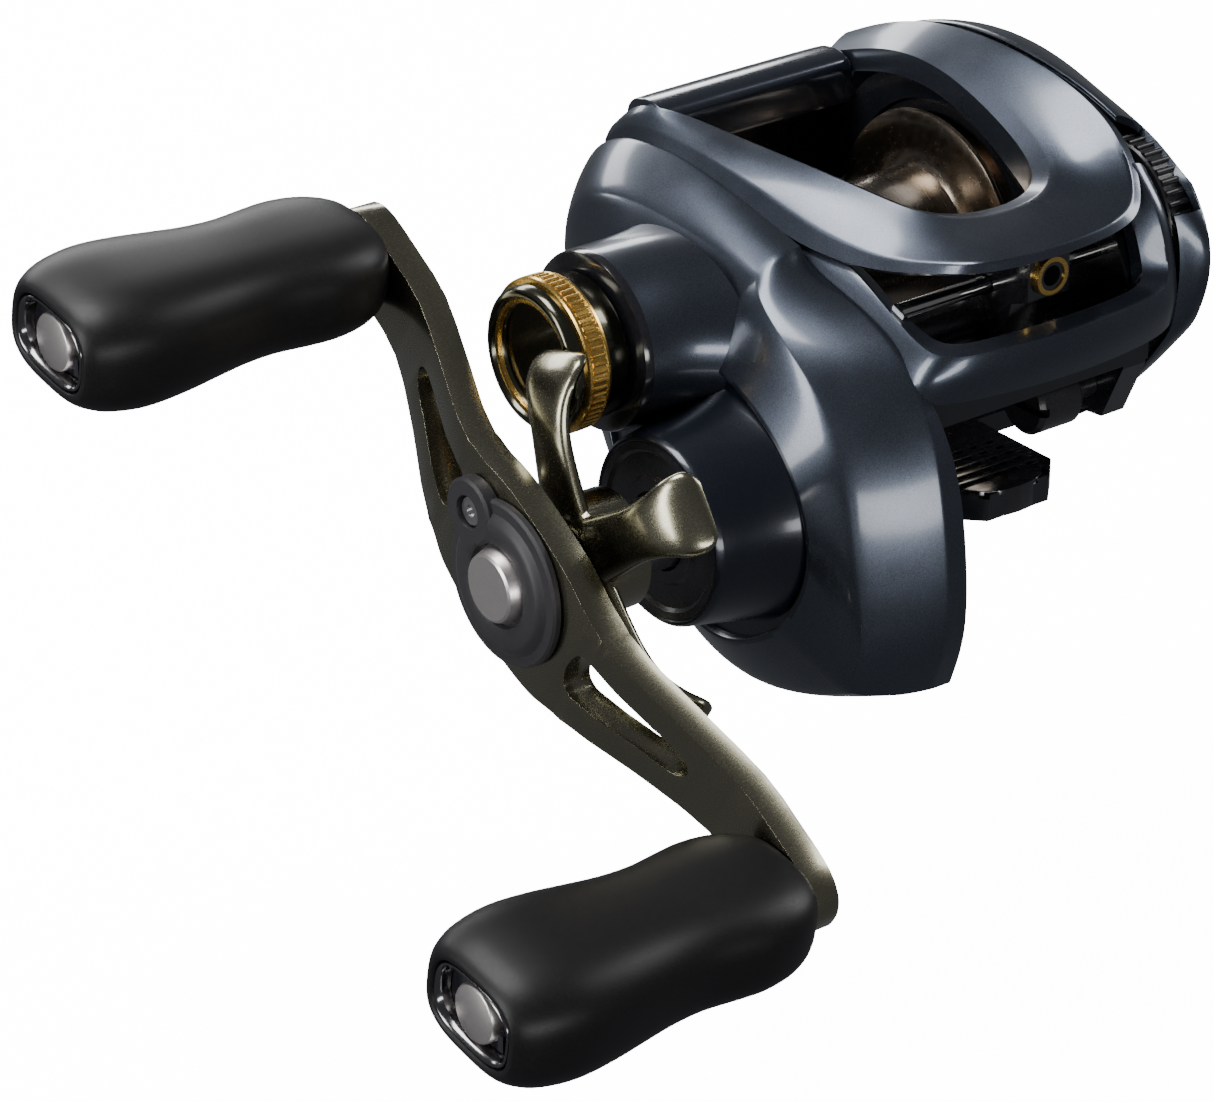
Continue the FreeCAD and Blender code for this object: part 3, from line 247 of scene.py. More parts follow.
def prism(name, outline, low, high, plane="YZ"):
    """Extrude a closed outline of (u, w), drawn in YZ or XY, along that plane's normal."""
    def at(u, w, h):
        return (h, u, w) if plane == "YZ" else (u, w, h)
    count = len(outline)
    points = [at(u, w, low) for u, w in outline] + [at(u, w, high) for u, w in outline]
    faces = [tuple(range(count)), tuple(range(2 * count - 1, count - 1, -1))]
    faces += [(i, (i + 1) % count, count + (i + 1) % count, count + i) for i in range(count)]
    return edit(raw_piece(name, points, faces), outward)


def drum(name, x, length, radius, axis, steps=72):
    return lathe(name, [(x, 0), (x + length, 0), (x + length, radius), (x, radius)], axis, steps)


def refined(node, name, width, angle):
    """A CAD node's own shape under a new name, merged into clean faces and with its edges rounded."""
    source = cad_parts[node]
    piece = bpy.data.objects.new(name, source.data.copy())
    piece.data.materials.clear()
    bpy.context.scene.collection.objects.link(piece)

    def merge(bm):
        bmesh.ops.remove_doubles(bm, verts=bm.verts, dist=2e-6)
        bmesh.ops.dissolve_limit(bm, angle_limit=math.radians(0.6), verts=bm.verts, edges=bm.edges)

    edit(piece, merge)
    return soften(piece, width, 2, angle)


# ---------------------------------------------------------------- materials

def surface(name, color, metallic, roughness, **sockets):
    """A Principled material with its constants on the shader's own sockets."""
    material = bpy.data.materials.new(name)
    material.use_nodes = True
    shader = material.node_tree.nodes["Principled BSDF"]
    shader.inputs["Base Color"].default_value = (*color, 1)
    shader.inputs["Metallic"].default_value = metallic
    shader.inputs["Roughness"].default_value = roughness
    for key, number in sockets.items():
        shader.inputs[key.replace("_", " ")].default_value = number
    material.diffuse_color = (*color, 1)
    return material, material.node_tree.nodes, material.node_tree.links, shader


def noise(nodes, links, scale, detail=2.0, stretch=(1, 1, 1), roughness=0.5):
    """A noise on Object coordinates; scale is in cycles per millimetre."""
    coordinates = nodes.new("ShaderNodeTexCoord")
    mapping = nodes.new("ShaderNodeMapping")
    mapping.inputs["Scale"].default_value = stretch
    texture = nodes.new("ShaderNodeTexNoise")
    texture.inputs["Scale"].default_value = scale * 1000
    texture.inputs["Detail"].default_value = detail
    texture.inputs["Roughness"].default_value = roughness
    links.new(coordinates.outputs["Object"], mapping.inputs["Vector"])
    links.new(mapping.outputs["Vector"], texture.inputs["Vector"])
    return texture.outputs["Fac"]


def ramp(nodes, links, source, stops):
    """Colours along a value: stops are (place, colour)."""
    node = nodes.new("ShaderNodeValToRGB")
    elements = node.color_ramp.elements
    while len(elements) < len(stops):
        elements.new(0.5)
    for element, (spot, color) in zip(elements, stops):
        element.position = spot
        element.color = (*color, 1)
    links.new(source, node.inputs["Fac"])
    return node.outputs["Color"]


def spread(nodes, links, source, low, high):
    """The middle of a noise's range mapped to the numbers from low to high."""
    node = nodes.new("ShaderNodeMapRange")
    node.inputs["From Min"].default_value = 0.3
    node.inputs["From Max"].default_value = 0.7
    node.inputs["To Min"].default_value = low
    node.inputs["To Max"].default_value = high
    links.new(source, node.inputs["Value"])
    return node.outputs["Result"]


def relief(nodes, links, shader, height, strength, distance):
    """Bump from a height; distance in millimetres."""
    node = nodes.new("ShaderNodeBump")
    node.inputs["Strength"].default_value = strength
    node.inputs["Distance"].default_value = distance * MM
    links.new(height, node.inputs["Height"])
    links.new(node.outputs["Normal"], shader.inputs["Normal"])


def flake_paint(name, dark, light, metallic, roughness, coat):
    """Metallic lacquer: fine bright flakes in a coloured base under a clear coat."""
    material, nodes, links, shader = surface(
        name, dark, metallic, roughness, Coat_Weight=coat, Coat_Roughness=0.12, Coat_IOR=1.5)
    flakes = noise(nodes, links, 8.0, 2.0)
    links.new(ramp(nodes, links, flakes, [(0.3, dark), (0.7, light)]), shader.inputs["Base Color"])
    cloud = noise(nodes, links, 0.12, 3.0)
    links.new(spread(nodes, links, cloud, roughness - 0.04, roughness + 0.05), shader.inputs["Roughness"])
    relief(nodes, links, shader, flakes, 0.03, 0.01)
    return material


def slate_lacquer():
    return flake_paint("slate_lacquer", (0.034, 0.041, 0.057), (0.066, 0.077, 0.1), 0.85, 0.3, 0.7)


def navy_lacquer():
    return flake_paint("navy_lacquer", (0.004, 0.006, 0.011), (0.011, 0.015, 0.026), 0.5, 0.3, 0.6)


def bar_lacquer():
    return flake_paint("bar_lacquer", (0.018, 0.022, 0.034), (0.04, 0.048, 0.068), 0.7, 0.2, 1.0)


def black_lacquer():
    material, nodes, links, shader = surface(
        "black_lacquer", (0.008, 0.009, 0.012), 0.2, 0.22, Coat_Weight=0.8, Coat_Roughness=0.06)
    cloud = noise(nodes, links, 0.3, 3.0)
    links.new(spread(nodes, links, cloud, 0.18, 0.3), shader.inputs["Roughness"])
    relief(nodes, links, shader, noise(nodes, links, 1.6, 2.0), 0.05, 0.03)
    return material


def anodised(name, color, roughness, streak=(0.2, 1.0, 1.0), coat=0.2):
    """Dyed aluminium with faint machining streaks."""
    material, nodes, links, shader = surface(
        name, color, 1.0, roughness, Coat_Weight=coat, Coat_Roughness=0.08)
    grain = noise(nodes, links, 6.0, 3.0, streak)
    lighter = tuple(min(1.0, c * 1.04) for c in color)
    darker = tuple(c * 0.96 for c in color)
    links.new(ramp(nodes, links, grain, [(0.3, darker), (0.7, lighter)]), shader.inputs["Base Color"])
    links.new(spread(nodes, links, grain, roughness - 0.03, roughness + 0.04), shader.inputs["Roughness"])
    relief(nodes, links, shader, grain, 0.01, 0.005)
    return material


def olive_anodised():
    return anodised("olive_anodised", (0.235, 0.222, 0.155), 0.24, (0.5, 1.0, 1.0), coat=0.5)


def dark_olive_gloss():
    return anodised("dark_olive_gloss", (0.075, 0.072, 0.048), 0.2, coat=0.6)


def gold_anodised():
    return anodised("gold_anodised", (0.78, 0.50, 0.13), 0.24)


def spool_bronze():
    return anodised("spool_bronze", (0.26, 0.215, 0.165), 0.24, (1.0, 0.15, 0.15))


def ground_steel():
    return anodised("ground_steel", (0.50, 0.50, 0.51), 0.3, (1.0, 0.2, 1.0), coat=0.0)


def satin_silver():
    return anodised("satin_silver", (0.74, 0.69, 0.67), 0.36, (0.3, 1.0, 1.0), coat=0.0)


def rim_anodised():
    return anodised("rim_anodised", (0.17, 0.165, 0.17), 0.16, coat=0.6)


def polished_rod():
    return anodised("polished_rod", (0.62, 0.60, 0.57), 0.12, (0.3, 1.0, 1.0), coat=0.0)


def gear_brass():
    return anodised("gear_brass", (0.62, 0.42, 0.16), 0.3)


def moulded(name, color, roughness, grain_scale, depth, sheen=0.0, coat=0.0, glint=0.5):
    """Moulded plastic with a fine grain."""
    material, nodes, links, shader = surface(
        name, color, 0.0, roughness, Sheen_Weight=sheen, Sheen_Roughness=0.4, Coat_Weight=coat,
        Coat_Roughness=0.15, Specular_IOR_Level=glint)
    grain = noise(nodes, links, grain_scale, 4.0, roughness=0.65)
    lighter = tuple(c * 1.35 + 0.002 for c in color)
    links.new(ramp(nodes, links, grain, [(0.35, color), (0.68, lighter)]), shader.inputs["Base Color"])
    links.new(spread(nodes, links, grain, roughness - 0.05, roughness + 0.07), shader.inputs["Roughness"])
    relief(nodes, links, shader, grain, depth, 0.04)
    return material


def soft_grip():
    return moulded("soft_grip", (0.0035, 0.003, 0.0035), 0.44, 5.0, 0.16, glint=0.3)


def matte_retainer():
    return moulded("matte_retainer", (0.014, 0.013, 0.015), 0.5, 6.0, 0.14, sheen=0.03)


def satin_black():
    return moulded("satin_black", (0.010, 0.010, 0.012), 0.3, 3.0, 0.06, coat=0.3)


def gloss_black():
    return moulded("gloss_black", (0.006, 0.006, 0.008), 0.14, 2.0, 0.02, coat=0.9)


def woven_carbon():
    material, nodes, links, shader = surface("woven_carbon", (0.02, 0.02, 0.022), 0.2, 0.35,
                                             Coat_Weight=0.5)
    coordinates = nodes.new("ShaderNodeTexCoord")
    checks = nodes.new("ShaderNodeTexChecker")
    checks.inputs["Scale"].default_value = 900
    checks.inputs["Color1"].default_value = (0.012, 0.012, 0.014, 1)
    checks.inputs["Color2"].default_value = (0.045, 0.045, 0.05, 1)
    links.new(coordinates.outputs["Object"], checks.inputs["Vector"])
    links.new(checks.outputs["Color"], shader.inputs["Base Color"])
    return material


def wound_copper():
    return anodised("wound_copper", (0.48, 0.25, 0.12), 0.32, (1.0, 0.1, 0.1))


slate = slate_lacquer()
navy = navy_lacquer()
black = black_lacquer()
olive = olive_anodised()
dark_olive = dark_olive_gloss()
gold = gold_anodised()
bronze = spool_bronze()
steel = ground_steel()
silver = satin_silver()
chrome = polished_rod()
rim_grey = rim_anodised()
bar_blue = bar_lacquer()
brass = gear_brass()
grip = soft_grip()
matte = matte_retainer()
plastic = satin_black()
gloss = gloss_black()
carbon = woven_carbon()
copper = wound_copper()


# ---------------------------------------------------------------- crank-side cover

# Control points run from the rear, over the top, down the front and back underneath.
COVER_SEAM = [(27.6, 20), (27.4, 27.4), (24.2, 32.2), (17.6, 34.7), (7.4, 35.1), (-3, 33.2), (-12.2, 31.2),
              (-13.8, 29.2), (-21.8, 27.8), (-29.4, 25.0), (-34.6, 19.8), (-37.4, 12), (-39, 2.4),
              (-39.4, -6.6), (-36.8, -13.6), (-24, -18.9), (-9, -20.7), (5, -14.2), (16.5, -3), (24.6, 9)]
COVER_RIDGE = [(-24.3, 23.6, 19.4), (-24.3, 23.0, 24.6), (-24.2, 20.2, 28.2), (-24.1, 15.4, 30.2),
               (-24.1, 6.8, 30.9), (-24.1, -3.6, 30.1), (-24.4, -12.0, 28.9), (-26.2, -14.8, 27.6),
               (-27, -20.9, 24.6), (-27, -26.8, 20.4), (-27, -30.8, 14.6), (-27, -33.0, 8.1),
               (-27, -34.2, 0.8), (-27, -34.8, -7.0), (-27, -33.2, -13.0), (-27, -23.6, -17.6),
               (-27, -10.4, -19.5), (-26.6, 2.2, -13.2), (-25.4, 12.6, -3), (-24.6, 20.2, 8.2)]
BOSS_EDGE = [(-27.6, 13, 16), (-27.6, 12, 20), (-27.6, 9.4, 24), (-27.6, 6, 26), (-27.8, 1.5, 26),
             (-28.6, -3, 23.6), (-29.2, -7.4, 21), (-29.7, -11.6, 19.4), (-30, -16.8, 18.4),
             (-30, -21.8, 15.6), (-30, -25.9, 11.4), (-30, -28, 7.2), (-30, -28.9, 2.8), (-30, -27.9, -2),
             (-30, -24, -7.9), (-30, -18.6, -12.1), (-29.8, -11, -14.5), (-29, -1.6, -11.6),
             (-28.4, 6.8, -4.6), (-27.8, 11.6, 7)]


def toward(points, middle, step):
    """Control points moved a step towards a middle (y, z)."""
    moved = []
    for px, py, pz in points:
        reach = math.hypot(py - middle[0], pz - middle[1])
        share = min(0.95, step / reach)
        moved.append((px, py + (middle[0] - py) * share, pz + (middle[1] - pz) * share))
    return moved


def between(a, b, share, bulge=0.0):
    """Rows mixed point by point; bulge pushes the middle out along -X."""
    return [tuple(p + (q - p) * share - (bulge if k == 0 else 0) for k, (p, q) in enumerate(zip(u, w)))
            for u, w in zip(a, b)]


def crank_boss():
    """The cone round the crank, with a rounded rim and a stepped bore."""
    outline = [(-26.5, 10.9), (-26.5, 13.9), (-28.6, 13.7), (-29.6, 13.3), (-31, 12.8), (-34, 12.1),
               (-37, 11.55), (-39.1, 11.2), (-39.7, 11.05), (-40, 10.75), (-40, 10.45), (-39.85, 10.3),
               (-39, 10.25), (-38.9, 9.6), (-38.9, 7.0), (-26.5, 7.0)]
    piece = lathe("crank_boss", outline, CRANK, 128)
    return dress(piece, "frame", navy)


def cast_boss():
    """The flared cone round the spool axis: its root follows the ridge above and spreads below."""
    turns = 48
    root = []
    for k in range(turns):
        angle = 2 * math.pi * k / turns
        up, front = math.sin(angle), -math.cos(angle)
        root.append(13.6 - 3.6 * max(0.0, up) ** 1.5 + 1.6 * max(0.0, front) * max(0.0, 1 - up))
    tip = 10.5
    flare = ((-25.2, 1.0), (-27, 0.72), (-29, 0.47), (-31.4, 0.26), (-34, 0.11), (-36.4, 0.03),
             (-38.1, 0.0))
    stations = [(x, [tip + (reach - tip) * share for reach in root]) for x, share in flare]
    stations += [(x, [radius] * turns) for radius, x in ((10.15, -38.4), (7.4, -38.4), (7.0, -38.2))]
    points = []
    for x, radii in stations:
        for k, r in enumerate(radii):
            angle = 2 * math.pi * k / turns
            points.append((x, SPOOL[0] + r * math.cos(angle), SPOOL[1] + r * math.sin(angle)))
    count = len(stations)
    faces = grid_faces(count, turns, True)
    faces.append(tuple(range(turns)))
    faces.append(tuple(range(count * turns - 1, (count - 1) * turns - 1, -1)))
    piece = subdivide(edit(raw_piece("cast_boss", points, faces), outward), 1)
    carve(piece, drum("bore", -38.9, 1.6, 6.9, SPOOL))
    carve(piece, drum("bore", -41, 24, 4.6, SPOOL))

    def paint_collar(bm):
        for face in bm.faces:
            face.material_index = 1 if face.calc_center_median().x < -36.8 * MM else 0

    edit(piece, paint_collar)
    return dress(piece, "frame", [slate, gloss])


def gear_cover():
    """The sculpted cover: a light band, a ridge that runs down to a corner, and a hole for each boss."""
    middle = (-5.0, 7.0)
    seam = toward([(-18.45, y, z) for y, z in COVER_SEAM], middle, -0.1)
    back = [(-15.9 if 11 <= k else -17.2 if k == 10 else -18.3, y, z) for k,
            (y, z) in enumerate(COVER_SEAM)]
    back = toward(back, middle, -0.12)
    rolled = toward([(-18.75, y, z) for y, z in COVER_SEAM], middle, -0.06)
    wall = between(seam, COVER_RIDGE, 0.45)
    wall = toward(wall, middle, -0.75)
    near = between(seam, COVER_RIDGE, 0.88)
    near = toward(near, middle, -0.4)
    slope = between(COVER_RIDGE, BOSS_EDGE, 0.12, 0.25)
    dip = between(COVER_RIDGE, BOSS_EDGE, 0.6, 0.15)
    rim = toward(BOSS_EDGE, (-9, 8), 0.35)
    step = toward(BOSS_EDGE, (-9, 8), 0.5)
    step = [(x + 0.9, y, z) for x, y, z in step]
    floor = toward(BOSS_EDGE, (-9, 8), 1.4)
    floor = [(x + 0.9, y, z) for x, y, z in floor]
    deep = [(x + 0.9, y, z) for x, y, z in toward(BOSS_EDGE, (-9, 8), 6)]
    ridge_crease = [0.55, 0.6, 0.8, 0.95, 0.95, 0.95, 0.95, 0.9, 0.5, 0.45, 0.6, 0.8, 0.95, 1.0, 1.0, 1.0,
                    0.9,
                    0.5, 0.5, 0.5]
    rows = [back, seam, rolled, wall, near, COVER_RIDGE, slope, dip, BOSS_EDGE, rim, step, floor, deep]
    piece = cage("gear_cover", rows, wrap=True, fan=True, levels=3,
                 sharp_rows={0: 1.0, 5: ridge_crease, 8: 0.85, 10: 0.8},
                 sharp_columns={6: 0.8, 14: 0.7})
    flip_if(piece, Vector((-80, -5, 7)) * MM)
    edge = [(y, z) for _, y, z in flow(BOSS_EDGE, 4, True)]

    def open_bosses(bm):
        hidden = []
        for face in bm.faces:
            c = face.calc_center_median() / MM
            at_crank = math.hypot(c.y - CRANK[0], c.z - CRANK[1]) < 11.6
            at_spool = math.hypot(c.y - SPOOL[0], c.z - SPOOL[1]) < 7.6
            if c.x < -22 and (at_crank or at_spool):
                hidden.append(face)
            face.material_index = 1 if c.x < -28.4 and within((c.y, c.z), edge) else 0
        bmesh.ops.delete(bm, geom=hidden, context="FACES")

    edit(piece, open_bosses)
    piece = thicken(piece, COVER_WALL)
    return dress(piece, "frame", [slate, navy], ["gear_side_plate"])


def within(point, outline):
    """True if a (y, z) point is inside an outline."""
    y, z = point
    inside = False
    for (ay, az), (by, bz) in zip(outline, outline[1:] + outline[:1]):
        if (az > z) != (bz > z) and y < (by - ay) * (z - az) / (bz - az) + ay:
            inside = not inside
    return inside


# ---------------------------------------------------------------- top hood

# Each station runs from the outer edge over the top to the thumb opening's rim and down its inner wall.
HOOD = [
    [(-18.4, 23.6, 30.6), (-18.0, 23.7, 32.4), (-17.4, 23.6, 33.7), (-16.6, 23.4, 34.3),
     (-15.9, 23.3, 34.0), (-15.75, 23.2, 31.6)],
    [(-18.4, 20.4, 33.4), (-17.9, 20.5, 35.3), (-17.2, 20.4, 36.8), (-16.4, 20.2, 37.5), (-15.9, 20, 37.1),
     (-15.75, 19.8, 34)],
    [(-18.4, 16.6, 34.6), (-17.8, 16.6, 36.1), (-16.9, 16.5, 37.5), (-16.2, 16.3, 38.2),
     (-15.8, 16.1, 37.8), (-15.6, 16, 34)],
    [(-18.4, 13.6, 34.8), (-17.4, 13.6, 36.2), (-16.1, 13.6, 37.5), (-14.6, 13.6, 38), (-13.3, 13.5, 37.3),
     (-13.0, 13.4, 34)],
    [(-18.4, 5, 34.9), (-17.3, 5, 36.1), (-15.5, 5, 37.1), (-13.6, 5, 37.6), (-12.3, 5, 36.9),
     (-12.1, 5, 34)],
    [(-18.4, -4, 33), (-17.2, -4.4, 34.8), (-15, -5, 36.6), (-12.8, -5.4, 37.7), (-11.5, -5.4, 37),
     (-11.3, -5.4, 34)],
    [(-18.4, -12.4, 31.2), (-17, -13.2, 33), (-14.2, -14, 35.3), (-11.2, -14.4, 37), (-9.9, -14.2, 36.4),
     (-9.7, -14, 33.8)],
    [(-16.2, -23, 31.2), (-15, -23.4, 32.4), (-12.4, -23, 34.5), (-9.8, -21.6, 36.3), (-8.6, -20.4, 35.8),
     (-8.5, -20.2, 33.4)],
    [(-13, -30.6, 33), (-12.4, -30.4, 34), (-10.2, -28, 35.3), (-7.4, -24.6, 36.2), (-6.6, -22.8, 35.7),
     (-6.5, -22.6, 33.2)],
    [(-10.6, -35, 33.7), (-10.2, -34.7, 34.7), (-8, -31.6, 35.4), (-4.6, -26.4, 36.1), (-4.0, -24.2, 35.6),
     (-4, -24, 33.2)],
    [(0, -36, 33.7), (0, -35.6, 34.8), (0, -32, 35.6), (0, -27, 36.1), (0, -24.8, 35.6), (0, -24.5, 33.2)],
    [(10.6, -35, 33.9), (10.4, -34.6, 34.9), (8.4, -31.4, 36), (4.8, -26.4, 36.4), (4.0, -24.2, 35.8),
     (4, -24, 33.2)],
    [(14.4, -32.4, 35.6), (13.8, -31.6, 36.8), (11.6, -28.6, 37.6), (8.2, -24.4, 37.4), (7.0, -22.6, 36.5),
     (6.9, -22.4, 33.4)],
    [(16.4, -27.6, 40.4), (15.4, -26.8, 41.2), (13.4, -23.8, 40.9), (10.4, -19.6, 39.2),
     (9.0, -18.2, 38.0), (8.8, -18, 34)],
    [(16.9, -19, 43.5), (16.1, -18.8, 44.0), (14.4, -15.6, 43.2), (12.0, -11, 41.4), (10.6, -9.6, 40.2),
     (10.4, -9.4, 37)],
    [(17, -8, 45), (16.2, -7.8, 45.4), (14.8, -5.4, 44.5), (13, -1, 42.9), (11.7, 0, 41.9), (11.5, 0, 39)],
    [(17, 4, 44.6), (16.2, 4.2, 44.9), (14.9, 5.6, 43.8), (13.4, 8, 42.1), (12.2, 8.6, 41.2),
     (12, 8.6, 38.4)],
    [(17, 14, 41.8), (16.2, 14.2, 42), (15, 14.8, 41), (13.8, 15.4, 39.7), (12.7, 15.6, 38.8),
     (12.5, 15.6, 36)],
    [(17, 21.4, 38), (16.2, 21.6, 38.2), (15.2, 21.6, 37.8), (14, 21.4, 37.2), (13, 21.2, 36.6),
     (12.8, 21.2, 34.2)],
]


def top_hood():
    """The U-shaped cover round the thumb opening, with its wide bevel."""
    last = len(HOOD[0]) - 1
    piece = cage("hood", HOOD, levels=3,
                 sharp_columns={0: 1.0, 1: 0.5, 3: 0.55, 4: 0.75, last: 1.0},
                 sharp_rows={0: 1.0, len(HOOD) - 1: 1.0})
    flip_if(piece, Vector((0, -30, 60)) * MM)
    piece = thicken(piece, HOOD_WALL)
    return dress(piece, "frame", slate, ["top_hood"])


def flip_if(piece, outside):
    """Turn an open skin's faces so that the one nearest a point outside looks at it."""
    def work(bm):
        nearest = min(bm.faces, key=lambda f: (f.calc_center_median() - outside).length)
        nearest.normal_update()
        if nearest.normal.dot(outside - nearest.calc_center_median()) < 0:
            bmesh.ops.reverse_faces(bm, faces=bm.faces)
    return edit(piece, work)


# ---------------------------------------------------------------- front loop

# Each station runs from inside the window over its rim and ledge, down the face and under.
NOSE = [
    [(-14.2, -9, 28.8), (-14.6, -9, 30.6), (-16.2, -9, 31.2), (-18.2, -9.4, 30.2), (-18.4, -9.6, 28),
     (-17.4, -9.6, 27)],
    [(-14, -14.4, 28.6), (-14.4, -14.4, 30.9), (-16, -14.4, 31.5), (-18.1, -14.6, 29.8),
     (-18.5, -15, 26.8), (-17.4, -14.6, 25.6)],
    [(-14, -19.6, 27.2), (-14.4, -19.6, 29.6), (-16, -19.6, 30), (-18.2, -19.8, 27.6),
     (-18.6, -20.2, 24.8), (-17.4, -19.6, 23.4)],
    [(-14.2, -25.4, 24.6), (-14.8, -25.8, 27.0), (-16.4, -26.2, 27.2), (-18.4, -26.2, 24.8),
     (-18.8, -26.6, 21.8), (-17.6, -25.6, 20.6)],
    [(-14.4, -30.4, 23.8), (-15, -31.2, 25.7), (-17, -32.2, 25.3), (-19, -32, 22.8), (-19.3, -31.4, 20),
     (-17.8, -30, 19)],
    [(-13, -32.6, 23.8), (-13.8, -33.8, 25.7), (-16, -35.3, 25.2), (-17.6, -35.4, 22.5),
     (-17.8, -34.4, 19.6), (-16, -32.8, 18.8)],
    [(-8, -33.4, 23.8), (-8.2, -34.7, 25.8), (-9.4, -36.7, 25.2), (-10, -37, 22.4), (-10.2, -35.9, 19.4),
     (-9, -34, 18.8)],
    [(0, -33.8, 23.8), (0, -35.2, 25.8), (0, -37.5, 25.2), (0, -37.9, 22.4), (0, -36.8, 19.3),
     (0, -34.4, 18.8)],
    [(8, -33.4, 23.8), (8.2, -34.7, 25.8), (9.2, -36.9, 25.2), (9.6, -37.3, 22.4), (9.8, -36.2, 19.4),
     (9, -34, 18.8)],
    [(12.4, -32.8, 23.8), (13, -34, 25.8), (15.2, -35.8, 25.2), (16.6, -35.9, 22.5), (16.8, -35, 19.6),
     (15, -33.2, 18.8)],
    [(13.4, -32.2, 25.6), (13.9, -33.3, 27.2), (16.6, -34.8, 26.8), (18.3, -34.8, 24.6), (18.5, -34, 21.4),
     (16.8, -32, 20.6)],
    [(13.3, -31.4, 29.4), (13.7, -32.6, 30), (16, -34.2, 30.6), (18, -34.2, 29.6), (18.4, -33.4, 27.2),
     (16.6, -31.4, 26.8)],
    [(13.2, -29.8, 33), (13.6, -31, 33.8), (15.6, -32.8, 35), (17.4, -32.8, 34.4), (18, -32, 32.4),
     (16.4, -30, 31.8)],
    [(13, -27, 35.8), (13.4, -28, 37), (15, -29.6, 38.6), (16.8, -29.8, 38.2), (17.4, -29, 36.6),
     (16, -27.4, 35.8)],
]


def nose_loop():
    """The lip and arms round the front window."""
    last = len(NOSE[0]) - 1
    rows = [station + [station[0]] for station in NOSE]
    piece = cage("nose_loop", rows, levels=3,
                 sharp_columns={0: 0.6, 1: 0.6, 2: 0.5, 4: 0.6, last: 0.3, last + 1: 0.6},
                 sharp_rows={0: 1.0, len(NOSE) - 1: 1.0})

    def close(bm):
        bmesh.ops.remove_doubles(bm, verts=bm.verts, dist=1e-6)
        cap_ends(bm)

    edit(piece, close)
    return dress(piece, "frame", slate, ["nose_cover"])


# ---------------------------------------------------------------- palm-side cover

PALM_SEAM = [(17.1, 26.5, 21), (17.1, 23.6, 33), (17.1, 14.6, 41.6), (17.1, 3, 45.2), (17.1, -9, 45.2),
             (17.1, -19.4, 43.7), (17.1, -27.8, 40.8), (17.6, -31.6, 36.4), (18.6, -34, 31.4),
             (18.7, -34.4, 25), (18.6, -33.4, 18.6), (17.1, -28, 9.6), (17.1, -18, 1.6), (17.1, -6, -3),
             (17.1, 9, -2.4), (17.1, 21, 7)]
PALM_DOME = [(22.6, 24.6, 21), (22.6, 21.6, 31.8), (22.4, 12.6, 40.4), (22.2, 1.6, 44.2), (22.2, -9.4, 44),
             (22.4, -18.0, 40.6), (22.6, -25.6, 38.9), (22.2, -31.8, 35.2), (21.6, -35.8, 31),
             (21.6, -36.4, 25), (21.6, -34, 19), (22.6, -27, 11), (22.6, -17.4, 3.6), (22.6, -5.6, -0.4),
             (22.6, 8.2, 0.4), (22.6, 19.4, 8.6)]
PALM_FLAT = [(26.2, 17.6, 21), (26.2, 15, 29.4), (26.2, 8.6, 35), (26.2, -1, 37.4), (26.2, -10, 36.8),
             (26.2, -17, 35), (26.2, -22.4, 32.6), (26.0, -27.4, 30.4), (25.6, -30.2, 28.4),
             (25.6, -30.2, 24.6), (26, -27.4, 20), (26.2, -21.4, 14.2), (26.2, -14, 8.2), (26.2, -4, 5),
             (26.2, 6, 6), (26.2, 14, 12)]


def palm_cover():
    """The domed palm-side cover, with a window that shows the brake dial."""
    middle = (-4, 21)
    rolled = toward([(x + 0.4, y, z) for x, y, z in PALM_SEAM], middle, -0.25)
    shoulder = toward(between(PALM_SEAM, PALM_DOME, 0.55), middle, -0.5)
    face = toward([(26.5, y, z) for _, y, z in PALM_FLAT], middle, 2.2)
    heart = toward([(26.6, y, z) for _, y, z in PALM_FLAT], middle, 8)
    dome_crease = [0.1, 0.1, 0.1, 0.1, 0.1, 0.1, 0.2, 0.5, 0.7, 0.7, 0.6, 0.2, 0.1, 0.1, 0.1, 0.1]
    rows = [PALM_SEAM, rolled, shoulder, PALM_DOME, PALM_FLAT, face, heart]
    piece = cage("palm_cover", rows, wrap=True, fan=True, levels=3,
                 sharp_rows={0: 1.0, 3: dome_crease, 4: 0.45}, sharp_columns={7: 0.5, 10: 0.4})
    flip_if(piece, Vector((80, -4, 21)) * MM)
    sides = (math.radians(4), math.radians(72))
    outer = 21.6

    def open_window(bm):
        planes = [((0, *DIAL), (0, -math.cos(turn), -math.sin(turn))) for turn in sides]
        planes.append(((outer, 0, 0), (1, 0, 0)))
        for point, normal in planes:
            parts = bm.verts[:] + bm.edges[:] + bm.faces[:]
            bmesh.ops.bisect_plane(bm, geom=parts, dist=1e-7, plane_co=Vector(point) * MM,
                                   plane_no=Vector(normal))
        opened = []
        for face in bm.faces:
            c = face.calc_center_median() / MM
            turn = math.atan2(DIAL[0] - c.y, c.z - DIAL[1])
            if c.x < outer and sides[0] < turn < sides[1]:
                opened.append(face)
        bmesh.ops.delete(bm, geom=opened, context="FACES")

    edit(piece, open_window)
    piece = thicken(piece, COVER_WALL)
    return dress(piece, "frame", slate, ["palm_side_plate"])


# ---------------------------------------------------------------- repeated ribs

